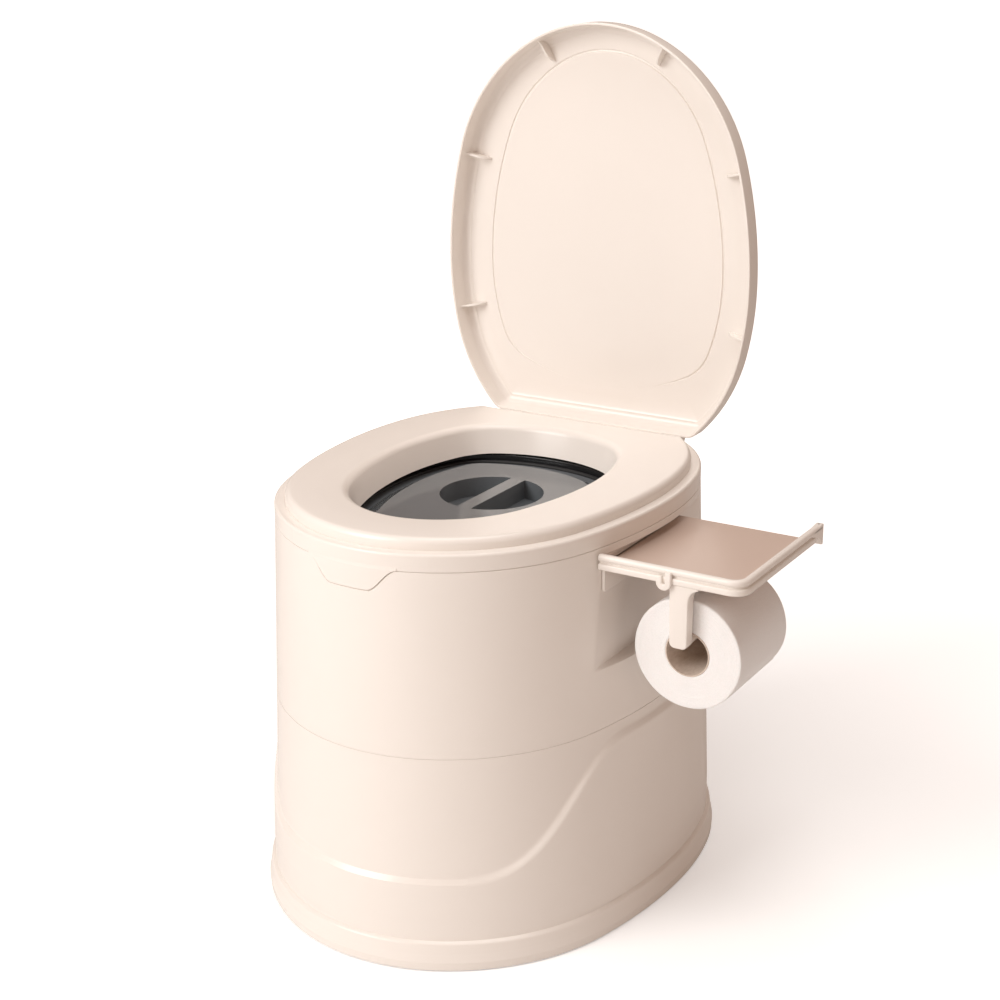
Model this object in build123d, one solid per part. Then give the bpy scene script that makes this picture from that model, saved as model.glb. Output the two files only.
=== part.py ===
from build123d import *
import math
import os

# Plan of the casing at the top of its wall
body_half_width = 180.0
body_front = 228.0
body_rear = 204.0
widest_y = 24.0
front_side_radius = 457.0
rear_side_radius = 330.0
front_end_turn = 27.0
front_side_turn = 74.6
rear_side_turn = 13.0
rear_flat_half = 96.0
rear_corner_radius = 20.0

# Heights of the casing
foot_height = 11.0
bead_top = 28.0
mid_seam = 203.0
rim_top = 374.0
wall = 3.0
shell_flange_width = 12.0
shell_flange_thickness = 3.0
shell_edge_round = 0.8

# Flare of the wall, as distances outside the plan
foot_flare = 22.0
bead_flare = 15.5
seam_flare = 6.4
rim_lift = 1.0
foot_round = 5.0
bead_round = 4.0
bead_shoulder = 4.0
bead_drop = 3.0
knee_height = 56.0
knee_round = 60.0

# Wave step on the lower half
wave_depth = 3.5
wave_low = 85.0
wave_high = 190.0
wave_start_y = -212.0
wave_end_y = -58.0
wave_ease = 0.42

# Base plate, feet and screws
base_plate_bottom = 4.0
base_plate_thickness = 3.0
foot_pad_radius = 14.0
base_ledge_width = 14.0
screw_radius = 2.0
screw_head_radius = 4.2
screw_head_height = 2.4
screw_boss_radius = 5.5
base_screw_length = 15.0
base_boss_height = 9.0
fastener_gap = 0.05
base_screw_turns = (-65, -8, 40)
shell_screw_turns = (-60, -5, 38)
foot_pad_turns = (-70, -12, 52)
seat_screw_turns = (-62, -4, 30)

# Seat opening
opening_half_width = 108.0
opening_front = 165.0
opening_rear = 135.0
opening_widest_y = 5.0
opening_side_radius = 300.0
opening_end_turn = 25.0
opening_side_turn = 70.0
skirt_taper = 8.0
skirt_bottom = 372.6
skirt_wall = 3.0

# Seat frame and raised seat
seam_gap = 0.4
deck_top = 390.0
deck_thickness = 3.0
band_round = 2.5
seat_inset = 10.0
seat_rear = 178.0
seat_rear_corner = 10.0
seat_top = 401.0
seat_thickness = 3.0
seat_outer_round = 6.0
seat_inner_round = 9.0
frame_hole_gap = 1.0
bumper_radius = 5.0
bumper_gap = 0.3
bumper_x = 150.0
bumper_ys = (-70.0, 90.0)

# Front tab
tab_half_top = 46.0
tab_half_bottom = 18.0
tab_ease = 0.35
tab_bottom = 354.0
tab_proud = 0.9
tab_gap = 0.8

# Lid
lid_inset = 7.0
lid_rest_gap = 0.8
lid_rear_corner = 15.0
lid_depth = 28.0
lid_wall = 2.5
lid_top_wall = 3.0
lid_outer_round = 11.0
lid_groove_width = 1.6
lid_groove_depth = 0.8
lid_panel_front = 205.0
lid_panel_rear = 150.0
lid_panel_half_width = 134.0
lid_rib_thickness = 2.0
lid_rib_reach = 24.0
lid_rib_gap = 0.8
lid_rib_turns = (-62.0, -14.0, 10.0)

# Lid hinge
lid_axis_in = 10.5
lid_axis_drop = 8.5
knuckle_radius = 6.0
lid_knuckle_x = 94.0
lid_knuckle_width = 20.0
lid_pocket_gap = 2.0
cheek_thickness = 4.0
pin_radius = 2.5
pin_running_gap = 0.06
pin_fixed_gap = 0.02
pin_stick_out = 1.0

# Seat hinge
seat_axis_out = 8.0
seat_axis_drop = 4.0
seat_knuckle_x = 55.0
seat_knuckle_width = 10.0
ear_thickness = 5.0
ear_gap = 0.4

# Bucket, its lid and handle
bucket_half_width = 112.0
bucket_front = 160.0
bucket_rear = 125.0
bucket_widest_y = 0.0
bucket_side_radius = 290.0
bucket_rim_top = 371.0
bucket_rim_thickness = 3.0
bucket_rim_width = 18.0
bucket_wall = 3.0
bucket_depth = 262.0
bucket_ledge_drop = 11.0
bucket_ledge_width = 8.0
bucket_draft = 15.0
bucket_hole_gap = 1.5
seal_width = 5.0
seal_height = 5.5
lid_plate_thickness = 3.0
plateau_inset = 26.0
plateau_rise = 8.0
well_radius = 50.0
well_y = 5.0
well_depth = 19.0
well_wall = 2.5
grip_bar_width = 15.0
bail_radius = 2.0
bail_inset = 3.5
bail_ear_width = 10.0
bail_ear_thickness = 6.0
bail_ear_gap = 2.5
grip_turn = 16.0
grip_radius = 4.0
grip_lift = 0.4

# Side recess and tray
recess_x = 168.0
recess_bottom = 261.0
recess_top = 366.0
tray_front = -91.0
tray_back = 68.0
tray_outer = 306.0
tray_floor_top = 359.0
tray_floor_thickness = 3.0
tray_corner = 16.0
rail_top = 370.0
rail_height = 5.5
rail_width = 7.0
rail_groove = 2.0
rail_lip_drop = 14.0
rail_end_y = 82.0
rail_end_drop = 20.0
rail_end_length = 12.0
tray_gap = 0.3
mount_plate_drop = 26.0
peg_width = 18.0
peg_height = 7.0
peg_gap = 0.4
peg_ys = (-55.0, 35.0)
peg_hook = 5.0

# Roll and its arm
roll_x = 248.0
roll_z = 288.0
roll_front = -75.0
roll_length = 100.0
roll_radius = 51.7
core_inner = 19.8
core_wall = 1.2
core_gap = 0.1
spindle_radius = 5.0
spindle_gap = 0.3
spindle_overhang = 8.0
arm_x = 245.0
arm_width = 18.0
arm_depth = 12.0
arm_front_gap = 2.0
arm_pad_length = 36.0
arm_pad_thickness = 4.0
arm_end_round = 4.0
hook_x = 232.5
hook_radius = 7.0
hook_slit = 3.0
hook_proud = 3.0
hook_gap = 0.3
arm_screw_spacing = 22.0


def turned(angle):
    """Unit vector in plan at this many degrees from +X."""
    return math.cos(math.radians(angle)), math.sin(math.radians(angle))


def end_radii(half_width, length, side_radius, end_turn, side_turn):
    """Radii of the end arc and the corner arc of a quarter oval of this width and length."""
    c1, s1 = turned(end_turn)
    c2, s2 = turned(side_turn)
    across = half_width - side_radius * (1 - s2)
    along = length - side_radius * c2
    scale = s1 * (c1 - c2) - (s2 - s1) * (1 - c1)
    end = (across * (c1 - c2) - (s2 - s1) * along) / scale
    corner = (s1 * along - (1 - c1) * across) / scale
    return end, corner


def quarter_arcs(half_width, length, side_radius, end_turn, side_turn, centre_y):
    """Arcs (x, y, radius, start, end) of the front right quarter of an oval, from tip to side."""
    end, corner = end_radii(half_width, length, side_radius, end_turn, side_turn)
    side_c, side_s = turned(90 - side_turn)
    side_x = half_width - side_radius
    corner_x = side_x + (side_radius - corner) * side_c
    corner_y = centre_y - (side_radius - corner) * side_s
    return [
        (0.0, centre_y - length + end, end, -90.0, end_turn - 90),
        (corner_x, corner_y, corner, end_turn - 90, side_turn - 90),
        (side_x, centre_y, side_radius, side_turn - 90, 0.0),
    ]


def flipped(arcs, centre_y):
    """The same quarter turned to the rear, from side to tip."""
    back = []
    for x, y, radius, start, end in reversed(arcs):
        back.append((x, 2 * centre_y - y, radius, -end, -start))
    return back


def egg(half_width, front, rear, centre_y, side_radius, end_turn, side_turn):
    """Right half of an egg-shaped plan: arcs from front to rear, and no flat."""
    front_length = front + centre_y
    rear_length = rear - centre_y
    forward = quarter_arcs(half_width, front_length, side_radius, end_turn, side_turn, centre_y)
    rear_side = side_radius * rear_length / front_length
    backward = quarter_arcs(half_width, rear_length, rear_side, end_turn, side_turn, centre_y)
    return forward + flipped(backward, centre_y), None


def rear_corner_arc():
    """Centre and radius of the large arc between the casing's side and its rear corner."""
    u = turned(rear_side_turn)
    side_x = body_half_width - rear_side_radius
    v = (rear_flat_half - side_x, body_rear - rear_corner_radius - widest_y)
    reach = rear_side_radius - rear_corner_radius
    dot = v[0] * u[0] + v[1] * u[1]
    step = (v[0] ** 2 + v[1] ** 2 - reach ** 2) / (2 * (dot - reach))
    return side_x + step * u[0], widest_y + step * u[1], rear_side_radius - step


def body_plan(inset=0.0, rear=body_rear, corner=rear_corner_radius):
    """Right half of the casing's plan, with a flat rear at this y where the plan is drawn in by
    inset. Its arcs are those of the plan with no inset."""
    arcs = quarter_arcs(
        body_half_width, body_front + widest_y, front_side_radius, front_end_turn, front_side_turn, widest_y
    )
    big_x, big_y, big_r = rear_corner_arc()
    flat_y = rear + inset
    small_r = corner + inset
    small_y = flat_y - small_r
    small_x = big_x + math.sqrt((big_r - small_r) ** 2 - (small_y - big_y) ** 2)
    meet = math.degrees(math.atan2(small_y - big_y, small_x - big_x))
    side_x = body_half_width - rear_side_radius
    arcs.append((side_x, widest_y, rear_side_radius, 0.0, rear_side_turn))
    arcs.append((big_x, big_y, big_r, rear_side_turn, meet))
    arcs.append((small_x, small_y, small_r, meet, 90.0))
    return arcs, flat_y


def plan_face(plan, out=0.0, z=0.0):
    """Flat face of a plan grown by out, at height z."""
    arcs, flat_y = plan
    edges = []
    for x, y, radius, start, end in arcs:
        edges.append(CenterArc((x, y), radius + out, start, end - start))
    if flat_y is not None:
        edges.append(Line((arcs[-1][0], flat_y + out), (0, flat_y + out)))
    half = Curve() + edges
    whole = half + mirror(half, about=Plane.YZ)
    return Pos(0, 0, z) * make_face(whole)


def plan_solid(plan, out, bottom, top, top_out=None):
    """Solid plug of a plan between two heights, which may grow or shrink towards the top."""
    height = top - bottom
    taper = 0.0
    if top_out is not None:
        taper = math.degrees(math.atan2(out - top_out, height))
    return extrude(plan_face(plan, out, bottom), height, taper=taper)


def section(corners):
    """Closed profile of (out, z) or (out, z, round) corners, as a list of edges in a plane."""
    count = len(corners)
    nodes = []
    for i in range(count):
        here = Vector(corners[i][0], corners[i][1])
        if len(corners[i]) < 3:
            nodes.append((here, here, here))
            continue
        before = Vector(*corners[i - 1][:2]) - here
        after = Vector(*corners[(i + 1) % count][:2]) - here
        half = math.radians(before.get_angle(after)) / 2
        cut = corners[i][2] / math.tan(half)
        middle = (before.normalized() + after.normalized()).normalized()
        tip = middle * (corners[i][2] / math.sin(half) - corners[i][2])
        nodes.append((here + before.normalized() * cut, here + tip, here + after.normalized() * cut))
    edges = []
    for i in range(count):
        start, mid, end = nodes[i]
        if start is not end:
            edges.append(ThreePointArc(start, mid, end))
        edges.append(Line(end, nodes[(i + 1) % count][0]))
    return edges


def ring(plan, corners):
    """Solid swept round a plan, from a profile of (distance outside the plan, height) corners."""
    arcs, flat_y = plan
    half = None
    for x, y, radius, start, end in arcs:
        c, s = turned(start)
        place = Plane(origin=(x, y, 0), x_dir=(c, s, 0), z_dir=(s, -c, 0))
        shifted = [(out + radius, z, *more) for out, z, *more in corners]
        face = place * make_face(section(shifted))
        wedge = revolve(face, Axis((x, y, 0), (0, 0, 1)), end - start)
        half = wedge if half is None else half + wedge
    if flat_y is not None:
        place = Plane(origin=(0, flat_y, 0), x_dir=(0, 1, 0), z_dir=(1, 0, 0))
        half += extrude(place * make_face(section(corners)), arcs[-1][0])
    return half + mirror(half, about=Plane.YZ)


def block(x, y, z):
    """Box between two values on each axis."""
    size = (x[1] - x[0], y[1] - y[0], z[1] - z[0])
    return Pos(sum(x) / 2, sum(y) / 2, sum(z) / 2) * Box(*size)


def rod(start, direction, length, radius):
    """Round bar from a point along an axis."""
    return Solid.make_cylinder(radius, length, Plane(origin=start, z_dir=direction))


def side_slab(points, x, width):
    """Slab of a (y, z) outline, centred on x."""
    face = Plane.YZ.offset(x - width / 2) * make_face(Polyline(*points, close=True))
    return extrude(face, width, dir=(1, 0, 0))


def screw(start, direction, length):
    """Pan-head screw: start is under the head, and the shank runs along direction."""
    back = Vector(*direction) * -screw_head_height
    head = rod(Vector(*start) + back, direction, screw_head_height, screw_head_radius)
    return head + rod(start, direction, length, screw_radius)


def together(solids):
    """Separate solids as one group."""
    return Compound(children=[s.solid() for s in solids])


def plan_point(plan, angle, out):
    """Point of a plan, grown by out, where its outward normal lies at angle from +X."""
    for x, y, radius, start, end in plan[0]:
        if start <= angle <= end:
            c, s = turned(angle)
            return x + (radius + out) * c, y + (radius + out) * s
    raise ValueError("no such normal on this plan")


def both_sides(points):
    """The points and their mirror images across the middle plane."""
    return points + [(-x, y) for x, y in points]


plan = body_plan()
opening = egg(
    opening_half_width,
    opening_front,
    opening_rear,
    opening_widest_y,
    opening_side_radius,
    opening_end_turn,
    opening_side_turn,
)
mouth = egg(
    bucket_half_width,
    bucket_front,
    bucket_rear,
    bucket_widest_y,
    bucket_side_radius,
    opening_end_turn,
    opening_side_turn,
)

base_plate_top = base_plate_bottom + base_plate_thickness
wall_slope = seam_flare / (rim_top - mid_seam)
deck_under = deck_top - deck_thickness
shelf_top = bucket_rim_top - bucket_rim_thickness
shelf_under = shelf_top - wall
band_bottom = rim_top + seam_gap
lid_axis_y = body_rear - lid_axis_in
lid_axis_z = deck_top - lid_axis_drop
lid_rear = lid_axis_y - (deck_top + lid_rest_gap - lid_axis_z)
seat_axis_y = body_rear + seat_axis_out
seat_axis_z = rim_top - seat_axis_drop


def wall_flare(z):
    """How far the plain wall stands outside the plan at height z."""
    return (rim_top - z) * wall_slope


def wave_block():
    """Everything above the wave line, as wide as the casing."""
    far = body_front + 2 * foot_flare
    reach = (wave_end_y - wave_start_y) * wave_ease
    curve = Bezier(
        (wave_start_y, wave_low),
        (wave_start_y + reach, wave_low),
        (wave_end_y - reach, wave_high),
        (wave_end_y, wave_high),
    )
    top = mid_seam + wall
    rest = Polyline(
        (wave_end_y, wave_high),
        (far, wave_high),
        (far, top),
        (-far, top),
        (-far, wave_low),
        (wave_start_y, wave_low),
    )
    face = Plane.YZ.offset(-far) * make_face(Curve() + [curve, rest])
    return extrude(face, 2 * far, dir=(1, 0, 0))


def lower_wall_profile():
    """Section of the lower half, with the foot, its bead and the proud wall."""
    inner_low = bead_flare - wall
    inner_high = wall_flare(mid_seam) - wall
    flange_in = inner_high - shell_flange_width
    flange_z = mid_seam - shell_flange_thickness
    ledge_in = inner_low - base_ledge_width
    return [
        (foot_flare, rim_lift, rim_lift),
        (foot_flare - rim_lift / 2, foot_height, foot_round),
        (bead_flare + bead_shoulder, bead_top - bead_drop, bead_round),
        (bead_flare, bead_top),
        (wall_flare(knee_height) + wave_depth, knee_height, knee_round),
        (wall_flare(mid_seam) + wave_depth, mid_seam),
        (flange_in, mid_seam),
        (flange_in, flange_z),
        (inner_high, flange_z),
        (inner_low, bead_top),
        (inner_low + wall, base_plate_top + wall),
        (ledge_in, base_plate_top + wall),
        (ledge_in, base_plate_top),
        (foot_flare - 2 * wall, base_plate_top),
        (foot_flare - wall, rim_lift),
    ]


def base_screw_points():
    out = bead_flare - wall - base_ledge_width / 2
    return both_sides([plan_point(plan, angle, out) for angle in base_screw_turns])


def shell_screw_points():
    out = wall_flare(mid_seam) - wall - shell_flange_width / 2
    return both_sides([plan_point(plan, angle, out) for angle in shell_screw_turns])


def make_lower_shell():
    shell = ring(plan, lower_wall_profile())
    low = wall_flare(wave_low - wall)
    high = wall_flare(mid_seam + wall)
    skin = ring(
        plan,
        [
            (low, wave_low - wall),
            (low + 2 * wave_depth, wave_low - wall),
            (high + 2 * wave_depth, mid_seam + wall),
            (high, mid_seam + wall),
        ],
    )
    shell -= skin & wave_block()
    hole_radius = screw_radius + fastener_gap
    hole_top = base_plate_bottom + base_screw_length + 1.0
    for x, y in base_screw_points():
        shell += rod((x, y, base_plate_top + wall), (0, 0, 1), base_boss_height, screw_boss_radius)
    for x, y in base_screw_points():
        shell -= rod((x, y, 0), (0, 0, 1), hole_top, hole_radius)
    for x, y in shell_screw_points():
        shell -= rod((x, y, mid_seam - 2 * wall), (0, 0, 1), 3 * wall, hole_radius)
    return shell


def tab_outline(gap):
    """Front view of the tab, grown by gap, as a slab that runs back from the front."""
    top = band_bottom + 6.0
    low = tab_bottom - gap
    wide = tab_half_top + gap
    narrow = tab_half_bottom + gap
    ease = (wide - narrow) * tab_ease
    right = [
        Line((0, low), (narrow, low)),
        Bezier((narrow, low), (narrow + ease, low), (wide - ease, band_bottom), (wide, band_bottom)),
        Line((wide, band_bottom), (wide, top)),
        Line((wide, top), (0, top)),
    ]
    half = Curve() + right
    face = make_face(half + mirror(half, about=Plane.YZ))
    place = Plane(origin=(0, 0, 0), x_dir=(1, 0, 0), z_dir=(0, -1, 0))
    return extrude(place * face, body_front + 4 * wall)


def recess_box():
    far = body_half_width + foot_flare
    return block((recess_x, far), (-far, far), (recess_bottom, recess_top))


def peg_box(y, gap):
    top = tray_floor_top - wall + gap
    return block(
        (recess_x - 2 * wall - 1.0, recess_x + wall),
        (y - peg_width / 2 - gap, y + peg_width / 2 + gap),
        (top - peg_height - 2 * gap, top),
    )


def seat_ear(x):
    """Ear on the casing's rear wall for a seat hinge pin."""
    wall_y = body_rear - wall / 2
    outline = [
        (wall_y, seat_axis_z - 3 * knuckle_radius),
        (wall_y, seat_axis_z + seat_axis_drop / 2),
        (seat_axis_y - knuckle_radius / 2, seat_axis_z + seat_axis_drop / 2),
        (seat_axis_y + knuckle_radius, seat_axis_z),
        (seat_axis_y + knuckle_radius * 0.8, seat_axis_z - knuckle_radius * 0.8),
    ]
    ear = side_slab(outline, x, ear_thickness)
    ear += rod((x - ear_thickness / 2, seat_axis_y, seat_axis_z), (1, 0, 0), ear_thickness, knuckle_radius)
    return ear


def seat_ear_xs():
    step = seat_knuckle_width / 2 + ear_gap + ear_thickness / 2
    return [side * (seat_knuckle_x + way * step) for side in (-1, 1) for way in (-1, 1)]


def make_upper_shell():
    top_flare = wall_flare(rim_top)
    low_flare = wall_flare(mid_seam)
    flange_in = low_flare - wall - shell_flange_width
    shell = ring(
        plan,
        [
            (top_flare, rim_top, shell_edge_round),
            (low_flare, mid_seam, shell_edge_round),
            (flange_in, mid_seam),
            (flange_in, mid_seam + shell_flange_thickness),
            (low_flare - wall, mid_seam + shell_flange_thickness),
            (top_flare - wall, rim_top),
        ],
    )
    shelf = plan_solid(plan, wall_flare(shelf_under) - wall / 2, shelf_under, shelf_top)
    shelf -= plan_solid(mouth, bucket_wall + bucket_hole_gap, shelf_under - 1.0, shelf_top + 1.0)
    shell += shelf
    full = plan_solid(plan, low_flare, mid_seam, rim_top, top_flare)
    far = body_half_width + foot_flare
    backing = block((recess_x - wall, far), (-far, far), (recess_bottom - wall, recess_top + wall))
    shell += full & backing
    shell -= recess_box()
    for y in peg_ys:
        shell -= peg_box(y, peg_gap)
    shell -= tab_outline(tab_gap)
    for x in seat_ear_xs():
        shell += seat_ear(x)
    for side in (-1, 1):
        start = (side * seat_knuckle_x - 2 * seat_knuckle_width, seat_axis_y, seat_axis_z)
        shell -= rod(start, (1, 0, 0), 4 * seat_knuckle_width, pin_radius + pin_fixed_gap)
    for x, y in shell_screw_points():
        shell += rod((x, y, mid_seam), (0, 0, 1), 3 * wall, screw_boss_radius - 1.0)
    for x, y in shell_screw_points():
        shell -= rod((x, y, mid_seam - wall), (0, 0, 1), 4 * wall - 1.0, screw_radius + fastener_gap)
    return shell


def make_base_plate():
    out = foot_flare - 2 * wall - 1.0
    plate = plan_solid(plan, out, base_plate_bottom, base_plate_top)
    for x, y in base_screw_points():
        plate -= rod((x, y, 0), (0, 0, 1), 2 * base_plate_top, screw_radius + fastener_gap)
    return plate


def make_rubber_feet():
    out = bead_flare - 2 * base_ledge_width - foot_pad_radius
    spots = both_sides([plan_point(plan, angle, out) for angle in foot_pad_turns])
    spots.append((0.0, 0.0))
    return together([rod((x, y, 0), (0, 0, 1), base_plate_bottom, foot_pad_radius) for x, y in spots])


def make_base_screws():
    return together(
        [screw((x, y, base_plate_bottom), (0, 0, 1), base_screw_length) for x, y in base_screw_points()]
    )


def make_shell_screws():
    z = mid_seam - shell_flange_thickness
    return together([screw((x, y, z), (0, 0, 1), 3.5 * wall) for x, y in shell_screw_points()])


def lid_pocket(x, gap, low, high):
    half = lid_knuckle_width / 2 + gap
    return block((x - half, x + half), (lid_rear - lid_wall, body_rear + wall), (low, high))


def make_seat_frame():
    band = ring(
        plan,
        [
            (0.0, band_bottom),
            (0.0, deck_top, band_round),
            (-seat_inset - wall, deck_top),
            (-seat_inset - wall, deck_under),
            (-wall, deck_under),
            (-wall, band_bottom),
        ],
    )
    deck = plan_solid(plan, -wall - 1.0, deck_under, deck_top)
    deck -= plan_solid(opening, skirt_wall + frame_hole_gap, deck_under - 1.0, deck_top + 1.0)
    frame = band + deck
    tab = ring(
        plan,
        [
            (tab_proud, tab_bottom - wall),
            (tab_proud, band_bottom, 0.3),
            (0.0, band_bottom + 3.0),
            (-wall, band_bottom + 3.0),
            (tab_proud - wall, tab_bottom - wall),
        ],
    )
    frame += tab & tab_outline(0.0)
    inside = plan_solid(plan, 0.0, band_bottom, deck_top)
    for side in (-1, 1):
        x = side * lid_knuckle_x
        cheeks = lid_pocket(x, lid_pocket_gap + cheek_thickness, band_bottom, deck_top - band_round)
        frame += cheeks & inside
        frame -= lid_pocket(x, lid_pocket_gap, band_bottom - 1.0, deck_top + 1.0)
        start = (x - lid_knuckle_width, lid_axis_y, lid_axis_z)
        frame -= rod(start, (1, 0, 0), 2 * lid_knuckle_width, pin_radius + pin_fixed_gap)
        frame += seat_knuckle(side * seat_knuckle_x)
    for x, y in seat_screw_points():
        frame -= rod((x, y, deck_under - 1.0), (0, 0, 1), deck_thickness + 2.0, screw_radius + fastener_gap)
    return frame


def seat_knuckle(x):
    """Knuckle that hangs behind the band, between two ears of the casing."""
    wall_y = body_rear - wall / 2
    clear_y = seat_axis_y - knuckle_radius
    low = band_bottom + wall
    outline = [
        (wall_y, low),
        (wall_y, deck_under),
        (clear_y + wall, deck_under),
        (seat_axis_y + knuckle_radius, seat_axis_z + wall),
        (seat_axis_y + knuckle_radius, seat_axis_z),
        (clear_y, seat_axis_z),
        (clear_y, low),
    ]
    knuckle = side_slab(outline, x, seat_knuckle_width)
    start = (x - seat_knuckle_width / 2, seat_axis_y, seat_axis_z)
    knuckle += rod(start, (1, 0, 0), seat_knuckle_width, knuckle_radius)
    knuckle -= rod(start, (1, 0, 0), seat_knuckle_width, pin_radius + pin_running_gap)
    return knuckle


def make_seat_hinge_pin(side):
    half = seat_knuckle_width / 2 + ear_gap + ear_thickness + pin_stick_out
    start = (side * seat_knuckle_x - half, seat_axis_y, seat_axis_z)
    return rod(start, (1, 0, 0), 2 * half, pin_radius)


def make_lid_hinge_pin(side):
    half = lid_knuckle_width / 2 + lid_pocket_gap + cheek_thickness
    start = (side * lid_knuckle_x - half, lid_axis_y, lid_axis_z)
    return rod(start, (1, 0, 0), 2 * half, pin_radius)


def seat_plan():
    return body_plan(seat_inset, seat_rear, seat_rear_corner)


def seat_screw_points():
    out = -seat_inset - (body_half_width - seat_inset - opening_half_width) / 2
    return both_sides([plan_point(seat_plan(), angle, out) for angle in seat_screw_turns])


def make_seat_ring():
    own_plan = seat_plan()
    rim = ring(
        own_plan,
        [
            (-seat_inset, deck_top),
            (-seat_inset, seat_top, seat_outer_round),
            (-seat_inset - 3 * seat_thickness, seat_top),
            (-seat_inset - 3 * seat_thickness, seat_top - seat_thickness),
            (-seat_inset - seat_thickness, seat_top - seat_thickness, seat_outer_round - seat_thickness),
            (-seat_inset - seat_thickness, deck_top),
        ],
    )
    top = plan_solid(own_plan, -seat_inset - 2 * seat_thickness, seat_top - seat_thickness, seat_top)
    top -= plan_solid(opening, seat_inner_round, deck_top, seat_top + 1.0)
    knee = seat_top - seat_inner_round
    slope = skirt_taper / (knee - skirt_bottom)
    deep = seat_top - seat_thickness
    lip = ring(
        opening,
        [
            (seat_inner_round + 1.0, seat_top),
            (0.0, seat_top, seat_inner_round - 0.5),
            (-skirt_taper, skirt_bottom),
            (skirt_wall - skirt_taper, skirt_bottom),
            (skirt_wall - slope * (seat_top - deep), deep, 2.0),
            (seat_inner_round + 1.0, deep),
        ],
    )
    seat = rim + top + lip
    for x, y in seat_screw_points():
        seat += rod((x, y, deck_top), (0, 0, 1), deep - deck_top, screw_boss_radius)
        seat -= rod((x, y, deck_top - 1.0), (0, 0, 1), deep - deck_top + 1.0, screw_radius + fastener_gap)
    return seat


def make_seat_screws():
    length = seat_top - seat_thickness - deck_under - 0.5
    return together([screw((x, y, deck_under), (0, 0, 1), length) for x, y in seat_screw_points()])


def make_seat_bumpers():
    pads = []
    for y in bumper_ys:
        for side in (-1, 1):
            start = (side * bumper_x, y, shelf_top + bumper_gap)
            pads.append(rod(start, (0, 0, 1), deck_under - shelf_top - bumper_gap, bumper_radius))
    return together(pads)


def lid_plan():
    return body_plan(lid_inset, lid_rear, lid_rear_corner)


def lid_rib(x, y, angle):
    """Gusset between the lid's skirt and its top, clear of the seat's rounded edge below it."""
    top = deck_top + seam_gap + lid_depth - lid_top_wall / 2
    hub_x = lid_inset + lid_wall - seat_inset - seat_outer_round
    hub_z = seat_top - seat_outer_round
    clear = seat_outer_round + lid_rib_gap
    outline = [(lid_wall / 2, top), (lid_wall / 2, hub_z)]
    for turn in (0, 30, 60, 90):
        c, s = turned(turn)
        outline.append((hub_x + clear * c, hub_z + clear * s))
    outline.append((-lid_rib_reach, top))
    c, s = turned(angle)
    place = Plane(origin=(x, y, 0), x_dir=(c, s, 0), z_dir=(s, -c, 0))
    face = place * make_face(Polyline(*outline, close=True))
    return extrude(face, lid_rib_thickness / 2, both=True)


def make_lid_closed():
    """The lid as it lies on the seat, with its knuckles."""
    own_plan = lid_plan()
    base = deck_top + seam_gap
    top = base + lid_depth
    inner = -lid_inset - lid_wall
    annulus = -lid_inset - lid_outer_round - 2.0
    rim = ring(
        own_plan,
        [
            (-lid_inset, base, 0.6),
            (-lid_inset, top, lid_outer_round),
            (annulus, top),
            (annulus, top - lid_top_wall),
            (inner, top - lid_top_wall, lid_outer_round - lid_wall),
            (inner, base, 0.6),
        ],
    )
    panel = plan_solid(own_plan, annulus + 1.0, top - lid_top_wall, top)
    lid = rim + panel
    groove_plan = egg(
        lid_panel_half_width,
        lid_panel_front,
        lid_panel_rear,
        widest_y,
        opening_side_radius * 1.3,
        opening_end_turn,
        opening_side_turn,
    )
    under = top - lid_top_wall
    lid -= ring(
        groove_plan,
        [
            (0.0, under - 1.0),
            (lid_groove_width, under - 1.0),
            (lid_groove_width / 2 + 0.3, under + lid_groove_depth),
            (lid_groove_width / 2 - 0.3, under + lid_groove_depth),
        ],
    )
    spots = []
    for angle in lid_rib_turns:
        spots.append((plan_point(own_plan, angle, inner), angle))
    for (x, y), angle in spots:
        lid += lid_rib(x, y, angle)
        lid += lid_rib(-x, y, 180 - angle)
    for side in (-1, 1):
        lid += lid_knuckle(side * lid_knuckle_x)
    return lid


def lid_knuckle(x):
    """Knuckle behind the closed lid, on an arm that reaches down to the hinge axis."""
    base = deck_top + seam_gap
    outline = [
        (lid_rear - lid_wall / 2, base + 1.0),
        (lid_rear - lid_wall / 2, base + 2.2 * knuckle_radius),
        (lid_axis_y - knuckle_radius * 0.2, base + 1.4 * knuckle_radius),
        (lid_axis_y + knuckle_radius, lid_axis_z + knuckle_radius * 0.2),
        (lid_axis_y + knuckle_radius, lid_axis_z),
        (lid_axis_y - knuckle_radius, lid_axis_z),
    ]
    knuckle = side_slab(outline, x, lid_knuckle_width)
    start = (x - lid_knuckle_width / 2, lid_axis_y, lid_axis_z)
    knuckle += rod(start, (1, 0, 0), lid_knuckle_width, knuckle_radius)
    knuckle -= rod(start, (1, 0, 0), lid_knuckle_width, pin_radius + pin_running_gap)
    return knuckle


def make_lid():
    """The lid stands open at rest, a quarter turn up from the seat."""
    return make_lid_closed().rotate(Axis((0, lid_axis_y, lid_axis_z), (1, 0, 0)), -90)


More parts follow.
